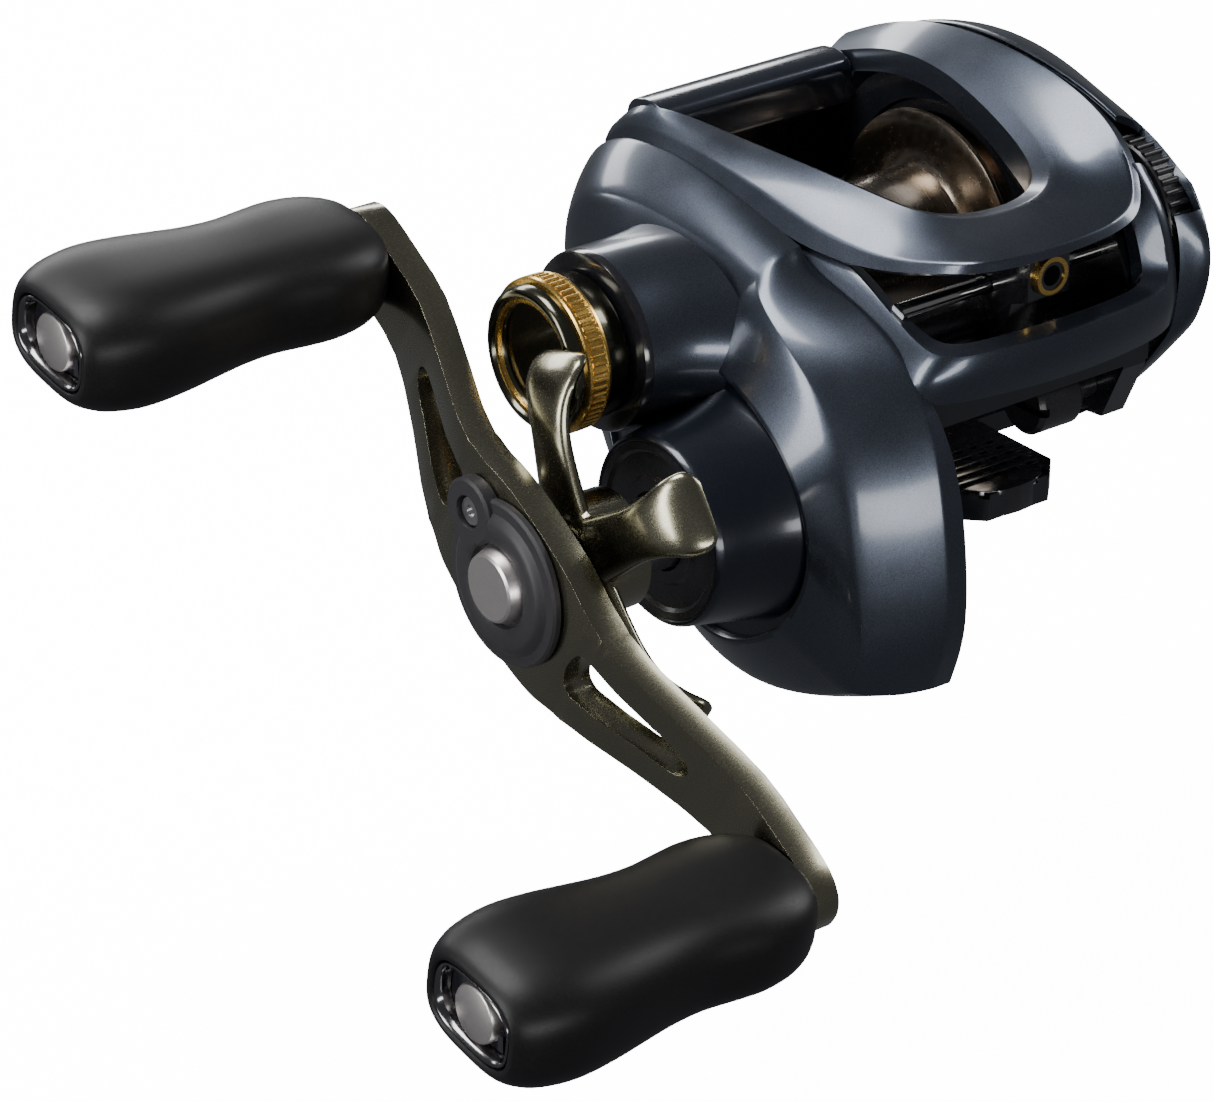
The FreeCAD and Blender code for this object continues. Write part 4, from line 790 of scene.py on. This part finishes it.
def rib_tree(material):
    """A Geometry Nodes tree that sets round ribs about a circle in the YZ plane."""
    tree = bpy.data.node_groups.new("ribs_" + material.name, "GeometryNodeTree")
    for socket, kind in (("Count", "NodeSocketInt"), ("Circle Radius", "NodeSocketFloat"),
                         ("Rib Radius", "NodeSocketFloat"), ("Rib Length", "NodeSocketFloat")):
        tree.interface.new_socket(socket, in_out="INPUT", socket_type=kind)
    tree.interface.new_socket("Geometry", in_out="OUTPUT", socket_type="NodeSocketGeometry")
    nodes, link = tree.nodes, tree.links.new
    given = nodes.new("NodeGroupInput")
    result = nodes.new("NodeGroupOutput")
    circle = nodes.new("GeometryNodeMeshCircle")
    upright = nodes.new("GeometryNodeTransform")
    upright.inputs["Rotation"].default_value = (0, math.pi / 2, 0)
    rib = nodes.new("GeometryNodeMeshCylinder")
    rib.inputs["Vertices"].default_value = 12
    lie = nodes.new("GeometryNodeTransform")
    lie.inputs["Rotation"].default_value = (0, math.pi / 2, 0)
    spread_out = nodes.new("GeometryNodeInstanceOnPoints")
    real = nodes.new("GeometryNodeRealizeInstances")
    paint = nodes.new("GeometryNodeSetMaterial")
    paint.inputs["Material"].default_value = material
    link(given.outputs["Count"], circle.inputs["Vertices"])
    link(given.outputs["Circle Radius"], circle.inputs["Radius"])
    link(given.outputs["Rib Radius"], rib.inputs["Radius"])
    link(given.outputs["Rib Length"], rib.inputs["Depth"])
    link(circle.outputs["Mesh"], upright.inputs["Geometry"])
    link(rib.outputs["Mesh"], lie.inputs["Geometry"])
    link(upright.outputs["Geometry"], spread_out.inputs["Points"])
    link(lie.outputs["Geometry"], spread_out.inputs["Instance"])
    link(spread_out.outputs["Instances"], real.inputs["Geometry"])
    link(real.outputs["Geometry"], paint.inputs["Geometry"])
    link(paint.outputs["Geometry"], result.inputs["Geometry"])
    return tree


def ribs(name, material, axis, x, count, radius, rib_radius, length):
    """Ribs about an axis along X, their middles at x; all sizes in millimetres."""
    piece = raw_piece(name, [(0, 0, 0)], [])
    tree = rib_tree(material)
    modifier = piece.modifiers.new("ribs", "NODES")
    modifier.node_group = tree
    sizes = {"Count": count, "Circle Radius": radius * MM, "Rib Radius": rib_radius * MM,
             "Rib Length": length * MM}
    for item in tree.interface.items_tree:
        if item.item_type == "SOCKET" and item.in_out == "INPUT":
            modifier[item.identifier] = sizes[item.name]
    settle(piece)
    piece.data.materials.clear()

    def shift(bm):
        bmesh.ops.translate(bm, verts=bm.verts, vec=Vector((x, axis[0], axis[1])) * MM)
        bmesh.ops.recalc_face_normals(bm, faces=bm.faces)

    return edit(piece, shift)


# ---------------------------------------------------------------- controls on the spool axis

def cast_cap():
    """The cast control cap: a dished cup with a rounded rim."""
    outline = [(-45.0, 0), (-45.0, 5.6), (-45.15, 6.3), (-45.6, 6.75), (-46.3, 7.0), (-46.55, 7.2),
               (-46.6, 7.5), (-46.5, 7.9), (-46.2, 8.2), (-45.7, 8.37), (-45.1, 8.4), (-39.3, 8.4),
               (-38.9, 8.2), (-38.75, 7.9), (-38.75, 6.6), (-43.7, 6.6), (-43.7, 0)]
    piece = lathe("cast_cap_turned", outline, SPOOL, 96)
    return dress(piece, "cast_control", dark_olive, ["cast_cap"])


def cast_line():
    """The thin gold line set in the cap's dish."""
    outline = [(-45.7, 6.3), (-46.15, 6.45), (-46.2, 6.9), (-45.7, 7.1)]
    return dress(lathe("cast_cap_line", outline, SPOOL, 96), "cast_control", gold)


def cast_ring():
    """The gold grip ring round the cap, with a plain lip at each side of its ribs."""
    outline = [(-45.0, 8.35), (-45.0, 8.8), (-44.85, 9.0), (-44.5, 9.05), (-44.3, 8.85), (-42.5, 8.85),
               (-42.3, 9.05), (-42.0, 9.0), (-41.85, 8.8), (-41.85, 8.35)]
    return dress(lathe("cast_cap_band", outline, SPOOL, 120), "cast_control", gold,
                 ["cast_cap_ring"])


def cast_ribs():
    piece = ribs("cast_cap_ribs", gold, SPOOL, -43.4, 60, 8.82, 0.26, 1.75)
    return dress(piece, "cast_control", gold)


def spool_body():
    """The spool: two thin rounded lips on a filleted arbor."""
    left, right = -13.9, 12.1
    outline = [(left, 2.0), (left, 8.0), (left + 0.3, 12), (left + 0.5, 14.6), (left + 0.7, 15.05),
               (left + 1.0, 15.2), (left + 1.35, 15.1), (left + 1.55, 14.7), (left + 1.75, 13.2),
               (left + 1.95, 11.2), (left + 2.2, 9.7), (left + 2.7, 9.0), (left + 3.6, 8.8),
               (right - 3.6, 8.8), (right - 2.7, 9.0), (right - 2.2, 9.7), (right - 1.95, 11.2),
               (right - 1.75, 13.2), (right - 1.55, 14.7), (right - 1.35, 15.1), (right - 1.0, 15.2),
               (right - 0.7, 15.05), (right - 0.5, 14.6), (right - 0.4, 12), (right - 0.5, 8.4),
               (right - 6, 7.6), (right - 6, 3.4), (right, 3.2), (right, 2.0)]
    piece = lathe("spool_turned", outline, SPOOL, 160)
    return dress(piece, "spool", bronze, ["spool"])


# ---------------------------------------------------------------- crank

def sweep_in(reach):
    """How far the handle leans in towards the reel at a distance from its hub."""
    stops = [(0, 0), (9.5, 0), (14, 0.5), (18, 1.6), (24, 3.9), (30, 6.0), (34, 7.1), (37.5, 7.4),
             (60, 7.4)]
    reach = abs(reach)
    for (a, low), (b, high) in zip(stops, stops[1:]):
        if reach <= b:
            t = (reach - a) / (b - a)
            t = t * t * (3 - 2 * t) if (a, b) in ((9.5, 14), (34, 37.5)) else t
            return low + (high - low) * t
    return stops[-1][1]


def onto_arm(bm, x=0.0):
    """Turn points drawn with y along the arm and z across it into the crank's own tilt."""
    turn = Matrix.Translation(Vector((x, CRANK[0], CRANK[1])) * MM) @ Matrix.Rotation(ARM_TILT, 4, "X")
    bmesh.ops.transform(bm, matrix=turn, verts=bm.verts)


def handle_arm():
    """The double handle: a waisted plate with a tapered slot each side, leaning in to the reel."""
    half = [(0, 9.7), (4.5, 9.6), (8.5, 9.0), (11.5, 8.1), (15, 7.2), (20, 6.3), (26, 5.45), (32, 4.85),
            (38, 4.6), (44, 4.6), (47, 4.2), (49, 3.0), (49.9, 1.4), (50.05, 0)]
    edge = flow(half, 4)
    outline = edge + [(s, -w) for s, w in edge[-2::-1]]
    outline += [(-s, -w) for s, w in edge[1:]] + [(-s, w) for s, w in edge[-2:0:-1]]
    piece = prism("handle_arm_plate", outline, -60, -56.4)
    slot_line = [(12.2, 2.4), (11.7, 0), (12.2, -2.4), (13.6, -3.25), (17, -2.85), (22, -2.2), (27, -1.6),
                 (28.5, 0), (27, 1.6), (22, 2.2), (17, 2.85), (13.6, 3.25)]
    smooth = flow(slot_line, 4, True)
    for side in (1, -1):
        carve(piece, prism("slot", [(side * s, w) for s, w in smooth], -66, -50))
        carve(piece, drum("pin_hole", -66, 16, 1.75, (side * ARM_HALF, 0), 32))
    carve(piece, drum("nut_hole", -66, 16, 3.95, (0, 0), 48))

    def lean(bm):
        spot = 9.5
        while spot < 38.5:
            for side in (1, -1):
                bmesh.ops.bisect_plane(bm, geom=bm.verts[:] + bm.edges[:] + bm.faces[:], dist=1e-8,
                                       plane_co=Vector((0, side * spot * MM, 0)),
                                       plane_no=Vector((0, 1, 0)))
            spot += 1.1
        for vertex in bm.verts:
            vertex.co.x += sweep_in(vertex.co.y / MM) * MM
        bmesh.ops.recalc_face_normals(bm, faces=bm.faces)

    edit(piece, lean)
    soften(piece, 0.55, 3, 40)
    edit(piece, onto_arm)
    return dress(piece, "crank", olive, ["handle_arm"], 40)


def retainer():
    """The two-step disc over the handle nut, with a round lug for its screw."""
    outline = [(-60.05, 4.3), (-60.05, 9.3), (-60.3, 9.6), (-60.9, 9.6), (-61.2, 9.3), (-61.25, 8.2),
               (-61.6, 7.8), (-61.85, 7.5), (-62, 7.1), (-62, 5.2), (-61.85, 4.9), (-61.2, 4.7),
               (-61.1, 4.3)]
    piece = lathe("retainer_disc", outline, (0, 0), 96)
    angle = math.radians(22)
    middle = (8.6 * math.cos(angle), 8.6 * math.sin(angle))
    lug = lathe("lug", [(-60.05, 0), (-60.05, 3.7), (-60.3, 3.9), (-61.7, 3.9), (-62, 3.6), (-62, 0)],
                middle, 48)
    carve(piece, lug, "UNION")
    carve(piece, drum("lug_hole", -64, 8, 1.95, middle, 40))
    edit(piece, onto_arm)
    return dress(piece, "crank", matte, ["nut_retainer"])


def nut():
    """The bright round-shouldered nut in the retainer's middle."""
    outline = [(-60, 0), (-60, 5.0), (-60.5, 5.15), (-61.0, 4.5), (-62.2, 4.1), (-62.8, 3.9), (-63, 3.6),
               (-63, 0)]
    piece = lathe("handle_nut_turned", outline, CRANK, 64)
    return dress(piece, "crank", silver, ["handle_nut"])


def paddle(turn):
    """One star paddle: a lens-shaped strip that bends in at its tip."""
    spine = flow([(-51.2, 4.6, 4.0, 1.3), (-51.45, 9, 3.5, 1.15), (-51.5, 13.5, 3.15, 1.05),
                  (-51.2, 17, 3.5, 1.0),
                  (-50.3, 19.8, 4.3, 0.95), (-48.9, 21.5, 4.5, 0.85), (-47.9, 22.1, 4.0, 0.75)], 4)
    spine.append((-47.4, 22.3, 3.2, 0.4))
    rows, sides = [], 20
    for i, (x, r, wide, thick) in enumerate(spine):
        before, after = spine[max(0, i - 1)], spine[min(len(spine) - 1, i + 1)]
        dx, dr = after[0] - before[0], after[1] - before[1]
        size = math.hypot(dx, dr)
        nx, nr = dr / size, -dx / size
        ring = []
        for k in range(sides):
            a = 2 * math.pi * k / sides
            across = wide * math.copysign(abs(math.cos(a)) ** 0.7, math.cos(a))
            out = thick * math.copysign(abs(math.sin(a)) ** 0.8, math.sin(a))
            px, pr = x - nx * out, r - nr * out
            y = pr * math.cos(turn) - across * math.sin(turn)
            z = pr * math.sin(turn) + across * math.cos(turn)
            ring.append((px, CRANK[0] + y, CRANK[1] + z))
        rows += ring
    faces = grid_faces(len(spine), sides, True)
    faces += [tuple(range(sides)), tuple(range(len(rows) - 1, len(rows) - sides - 1, -1))]
    return edit(raw_piece("paddle", rows, faces), outward)


def star():
    """The star drag: a turned hub and five paddles."""
    outline = [(-44.7, 3.2), (-44.7, 5.2), (-46, 6.9), (-51.2, 7), (-51.9, 6.6), (-52.4, 5.8), (-52.4, 3.2)]
    piece = lathe("star_body", outline, CRANK, 72)
    for k in range(STAR_POINTS):
        carve(piece, paddle(math.radians(STAR_TURN + 360 / STAR_POINTS * k)), "UNION")
    return dress(piece, "star", olive, ["star_drag"], 40)


def spacer():
    """The stepped collars between the star and the handle."""
    outline = [(-56, 3.05), (-56, 4.3), (-55.7, 4.6), (-54.9, 4.6), (-54.6, 4.3), (-54.2, 4.3),
               (-53.9, 4.6), (-53.1, 4.6), (-52.75, 4.3), (-52.75, 3.05)]
    piece = lathe("star_collar", outline, CRANK, 72)
    return dress(piece, "crank", dark_olive, ["star_spacer"])


# ---------------------------------------------------------------- knobs

# Each section is (share of the length from the outer end, width, height).
KNOB_SECTIONS = [(0.0, 14.8, 10.2), (0.012, 16.0, 11.3), (0.035, 17.4, 12.4), (0.08, 19.0, 13.7),
                 (0.15, 20.1, 14.6), (0.22, 20.4, 14.8), (0.32, 19.7, 14.4), (0.42, 18.5, 13.7),
                 (0.52, 17.4, 13.0), (0.62, 17.1, 12.7), (0.72, 18.0, 12.8), (0.8, 18.6, 12.7),
                 (0.88, 17.8, 12.3), (0.94, 16.0, 11.5), (0.98, 13.8, 10.5), (1.0, 12.0, 9.4)]


def knob_ring(x, wide, tall, axis, power, sides=64):
    """A rounded outline square to X, turned to the knob's own lean."""
    ring = []
    for k in range(sides):
        a = 2 * math.pi * k / sides
        u = wide / 2 * math.copysign(abs(math.cos(a)) ** power, math.cos(a))
        w = tall / 2 * math.copysign(abs(math.sin(a)) ** power, math.sin(a))
        ring.append((x, axis[0] + u * math.cos(KNOB_LEAN) - w * math.sin(KNOB_LEAN),
                     axis[1] + u * math.sin(KNOB_LEAN) + w * math.cos(KNOB_LEAN)))
    return ring


def knob_rings(stack, axis):
    """Rings from (distance from the outer end, width, height, roundness)."""
    return [knob_ring(KNOB_OUTER + depth, wide, tall, axis, power) for depth, wide, tall, power in stack]


def knob_shell(name, rings):
    """Close a stack of rings into a solid: the last ring joins back to the first."""
    sides = len(rings[0])
    points = [p for ring in rings for p in ring]
    faces = grid_faces(len(rings), sides, True)
    base = (len(rings) - 1) * sides
    faces += [(base + j, base + (j + 1) % sides, (j + 1) % sides, j) for j in range(sides)]
    return edit(raw_piece(name, points, faces), outward)


def knob_grip(side, axis):
    """The soft grip: a waisted paddle with a shallow rounded recess in its outer end."""
    rings = [knob_ring(KNOB_OUTER + KNOB_LENGTH * t, wide, tall, axis, 0.68)
             for t, wide, tall in flow(KNOB_SECTIONS, 3)]
    bore_and_dish = [(KNOB_LENGTH, 8.2, 8.2, 1.0), (3.8, 8.2, 8.2, 1.0), (3.8, 13.0, 8.6, 0.66),
                     (0.5, 13.05, 8.65, 0.66), (0.15, 13.3, 8.9, 0.66), (0, 13.8, 9.4, 0.67)]
    piece = knob_shell(f"{side}_knob_body", rings + knob_rings(bore_and_dish, axis))
    return dress(piece, f"{side}_knob", grip, [f"{side}_knob_grip"], 50)


def knob_trim(side, axis):
    """The glossy frame set in the recess."""
    stack = [(2.9, 12.9, 8.5, 0.66), (0.45, 12.9, 8.5, 0.66), (0.2, 12.7, 8.3, 0.66),
             (0.1, 12.4, 8.0, 0.66), (0.2, 12.1, 7.7, 0.66), (0.9, 11.5, 7.1, 0.68), (2.9, 11.3, 6.9, 0.7)]
    piece = knob_shell(f"{side}_knob_frame", knob_rings(stack, axis))
    return dress(piece, f"{side}_knob", rim_grey, [f"{side}_knob_trim"], 40)


def knob_floor(side, axis):
    """The dark floor of the recess, with a low tab beside the disc."""
    back, front = knob_rings([(2.9, 11.2, 6.8, 0.7), (1.9, 11.2, 6.8, 0.7)], axis)
    points = back + front
    count = len(back)
    faces = grid_faces(2, count, True) + [tuple(range(count)), tuple(range(2 * count - 1, count - 1, -1))]
    piece = edit(raw_piece(f"{side}_knob_floor", points, faces), outward)
    y, z = axis[0] - 4.6, axis[1] - 2.6
    tab = prism("tab", [(y, z), (y + 0.9, z), (y + 0.9, z + 2.0), (y, z + 2.0)], KNOB_OUTER + 0.9,
                KNOB_OUTER + 2.4)
    carve(piece, tab, "UNION")
    return dress(piece, f"{side}_knob", gloss)


def knob_cap(side, axis):
    """The flat satin disc over the pin, with a small round on its edge."""
    outline = [(-93.1, 0), (-93.1, 3.0), (-93.0, 3.2), (-92.7, 3.35), (-90.8, 3.4), (-90.8, 0)]
    piece = lathe(f"{side}_knob_disc", outline, axis, 64)
    return dress(piece, f"{side}_knob", silver, [f"{side}_knob_cap"])


# ---------------------------------------------------------------- level wind, thumb bar, dial and foot

def thumb_bar():
    """The clutch bar across the back of the thumb opening."""
    left, right = -15.5, 12.3
    ring = [(15.7, 32.3), (15.65, 35.8), (15.9, 37.2), (17.0, 38.0), (19.2, 38.2), (21.4, 37.8),
            (22.9, 36.6), (23, 34.6), (18.4, 34.5), (16.9, 32.5)]
    rows = []
    for share, rise in ((0, -0.15), (0.03, -0.05), (0.2, 0), (0.5, 0.0), (0.8, 0), (0.97, -0.05),
                        (1, -0.15)):
        rows.append([(left + (right - left) * share, y, z + rise) for y, z in ring])
    piece = cage("thumb_bar_moulded", rows, wrap=True, levels=2,
                 sharp_columns={7: 0.6, 8: 0.8, 9: 0.8, 0: 0.8})
    edit(piece, cap_ends)
    soften(piece, 0.35, 3, 50)
    return dress(piece, "thumb_bar", bar_blue, ["thumb_bar"])


def eye_ring(name, outline, material, replaces=()):
    """A ring round the line's way through the guide, turned about an axis along Y."""
    piece = lathe(name, outline, (0, 0), 64)

    def lay(bm):
        turn = Matrix.Translation(Vector((0, *GUIDE_EYE)) * MM) @ Matrix.Rotation(math.pi / 2, 4, "Z")
        bmesh.ops.transform(bm, matrix=turn, verts=bm.verts)
        bmesh.ops.recalc_face_normals(bm, faces=bm.faces)

    edit(piece, lay)
    return dress(piece, "line_guide", material, replaces)


def line_guide():
    piece = refined("line_guide", "line_guide_block", 0.3, 40)
    return dress(piece, "line_guide", gloss, ["line_guide"])


def brake_dial():
    """The brake dial's drum; its ribs are a piece of their own."""
    outline = [(18.65, 2.2), (18.65, 8.9), (18.9, 9.15), (21.5, 9.15), (21.75, 8.9), (21.75, 2.2)]
    piece = lathe("brake_dial_drum", outline, DIAL, 96)
    return dress(piece, "brake_dial", plastic, ["brake_dial"])


def dial_ribs():
    piece = ribs("brake_dial_ribs", plastic, DIAL, 20.2, 44, 9.1, 0.42, 2.7)
    return dress(piece, "brake_dial", plastic)


def foot():
    """The foot's lacquered skin: long, rounded at both ends, with cross grooves near the front."""
    half = flow([(0, 7.6), (-10, 7.6), (-20, 7.3), (-25, 6.4), (-28, 4.8), (-29.4, 2.6), (-29.75, 0)], 4)
    ends = [(y, x) for y, x in half]
    outline = [(x, y) for y, x in ends] + [(-x, y) for y, x in ends[-2::-1]]
    outline += [(-x, -y) for y, x in ends[1:]] + [(x, -y) for y, x in ends[-2:0:-1]]
    piece = prism("foot_skin", outline, -0.02, 3.3, "XY")
    for k in range(6):
        near = -26.2 + 1.7 * k
        far = -25.6 + 1.7 * k
        carve(piece, prism("groove", [(-9, near), (9, near), (9, far), (-9, far)], 2.85, 4, "XY"))
    soften(piece, 0.35, 2, 40)
    return dress(piece, "frame", gloss)


# ---------------------------------------------------------------- finishes of the remaining parts

FINISHES = [
    (black, ("frame",)), (plastic, ("brake_housing", "crank_seal", "worm_tube", "clutch_yoke",
                                    "plate_lock")),
    (copper, ("brake_coil",)), (carbon, ("drag_washer", "tension_washer")),
    (brass, ("wind_drive_gear", "drive_gear", "idler_gear", "worm_gear", "pinion_gear")),
    (chrome, ("knob_pins", "guide_rod")),
    (steel, ("palm_bearing", "crank_bearing", "pinion_bearing", "cast_bearing", "roller_clutch",
             "drive_shaft",
             "anti_reverse_ratchet", "pressure_plate", "spring_washers", "clutch_sleeve", "retainer_screw",
             "rear_knob_bearing", "front_knob_bearing", "spool_shaft", "yoke_posts", "yoke_springs",
             "worm_shaft",
             "cover_screws", "wind_pawl", "pawl_cap", "clutch_cam", "spool_magnet")),
]


def finish_nodes():
    """Give the CAD nodes that still show their own finish."""
    for material, names in FINISHES:
        for name in names:
            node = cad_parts[name]
            if not node.material_slots:
                raise SystemExit(f"{name} has no material slot")
            for entry in node.material_slots:
                entry.link = "OBJECT"
                entry.material = material


# ---------------------------------------------------------------- studio

LIT_POINT = (0, -0.004, 0.015)


def backdrop():
    """A pale floor well below the part."""
    bpy.ops.mesh.primitive_plane_add(size=6, location=(0, 0, -0.06))
    floor = bpy.context.object
    floor.name = "studio_floor"
    material, _, _, shader = surface("studio_pale", (0.86, 0.87, 0.88), 0.0, 0.9)
    shader.inputs["Emission Color"].default_value = (1, 1, 1, 1)
    shader.inputs["Emission Strength"].default_value = 14.0
    floor.data.materials.append(material)
    floor.visible_glossy = False
    floor.visible_diffuse = False


def softbox(name, place, width, height, watts):
    """A soft rectangular light that faces the reel; sizes in metres."""
    light = bpy.data.lights.new(name, "AREA")
    light.shape = "RECTANGLE"
    light.size, light.size_y = width, height
    light.energy = watts
    lamp = bpy.data.objects.new(name, light)
    lamp.location = place
    lamp.rotation_euler = (Vector(LIT_POINT) - Vector(place)).to_track_quat("-Z", "Y").to_euler()
    bpy.context.scene.collection.objects.link(lamp)


def studio():
    softbox("key_above", (-0.22, 0.16, 0.60), 0.30, 0.30, 4.6)
    softbox("side_left", (-0.62, 0.05, 0.16), 0.16, 0.5, 3.2)
    softbox("front_low", (-0.25, -0.62, -0.03), 0.6, 0.12, 2.4)
    softbox("right_fill", (0.60, -0.22, 0.34), 0.16, 0.5, 3.0)
    softbox("back_rim", (0.10, 0.62, 0.30), 0.7, 0.14, 3.0)
    world = bpy.data.worlds.new("studio_world")
    bpy.context.scene.world = world
    world.use_nodes = True
    world.node_tree.nodes["Background"].inputs["Color"].default_value = (0.9, 0.93, 1.0, 1)
    world.node_tree.nodes["Background"].inputs["Strength"].default_value = 0.14
    camera = bpy.data.cameras.new("camera")
    camera.lens = 153.8
    camera.sensor_width = 36
    camera.clip_start, camera.clip_end = 0.01, 20
    eye = bpy.data.objects.new("camera", camera)
    eye.location = (-0.354647, -0.418920, 0.258784)
    eye.rotation_euler = Vector((0.5411, 0.7109, -0.4493)).to_track_quat("-Z", "Y").to_euler()
    bpy.context.scene.collection.objects.link(eye)
    bpy.context.scene.camera = eye


gear_cover()
crank_boss()
cast_boss()
top_hood()
nose_loop()
palm_cover()
cast_cap()
cast_line()
cast_ring()
cast_ribs()
spool_body()
handle_arm()
retainer()
nut()
star()
spacer()
for knob_side, knob_at in (("rear", REAR_KNOB), ("front", FRONT_KNOB)):
    knob_grip(knob_side, knob_at)
    knob_trim(knob_side, knob_at)
    knob_floor(knob_side, knob_at)
    knob_cap(knob_side, knob_at)
thumb_bar()
line_guide()
eye_ring("eye_insert", [(-2.1, 1.2), (-2.1, 1.7), (1.4, 1.7), (1.4, 1.2)], gloss,
         ["guide_ring"])
eye_ring("eye_band", [(-2.3, 1.7), (-2.35, 1.95), (-2.3, 2.25), (-1.5, 2.3), (-1.2, 2.1), (-1.2, 1.7)],
         gold)
brake_dial()
dial_ribs()
foot()
finish_nodes()
backdrop()
studio()
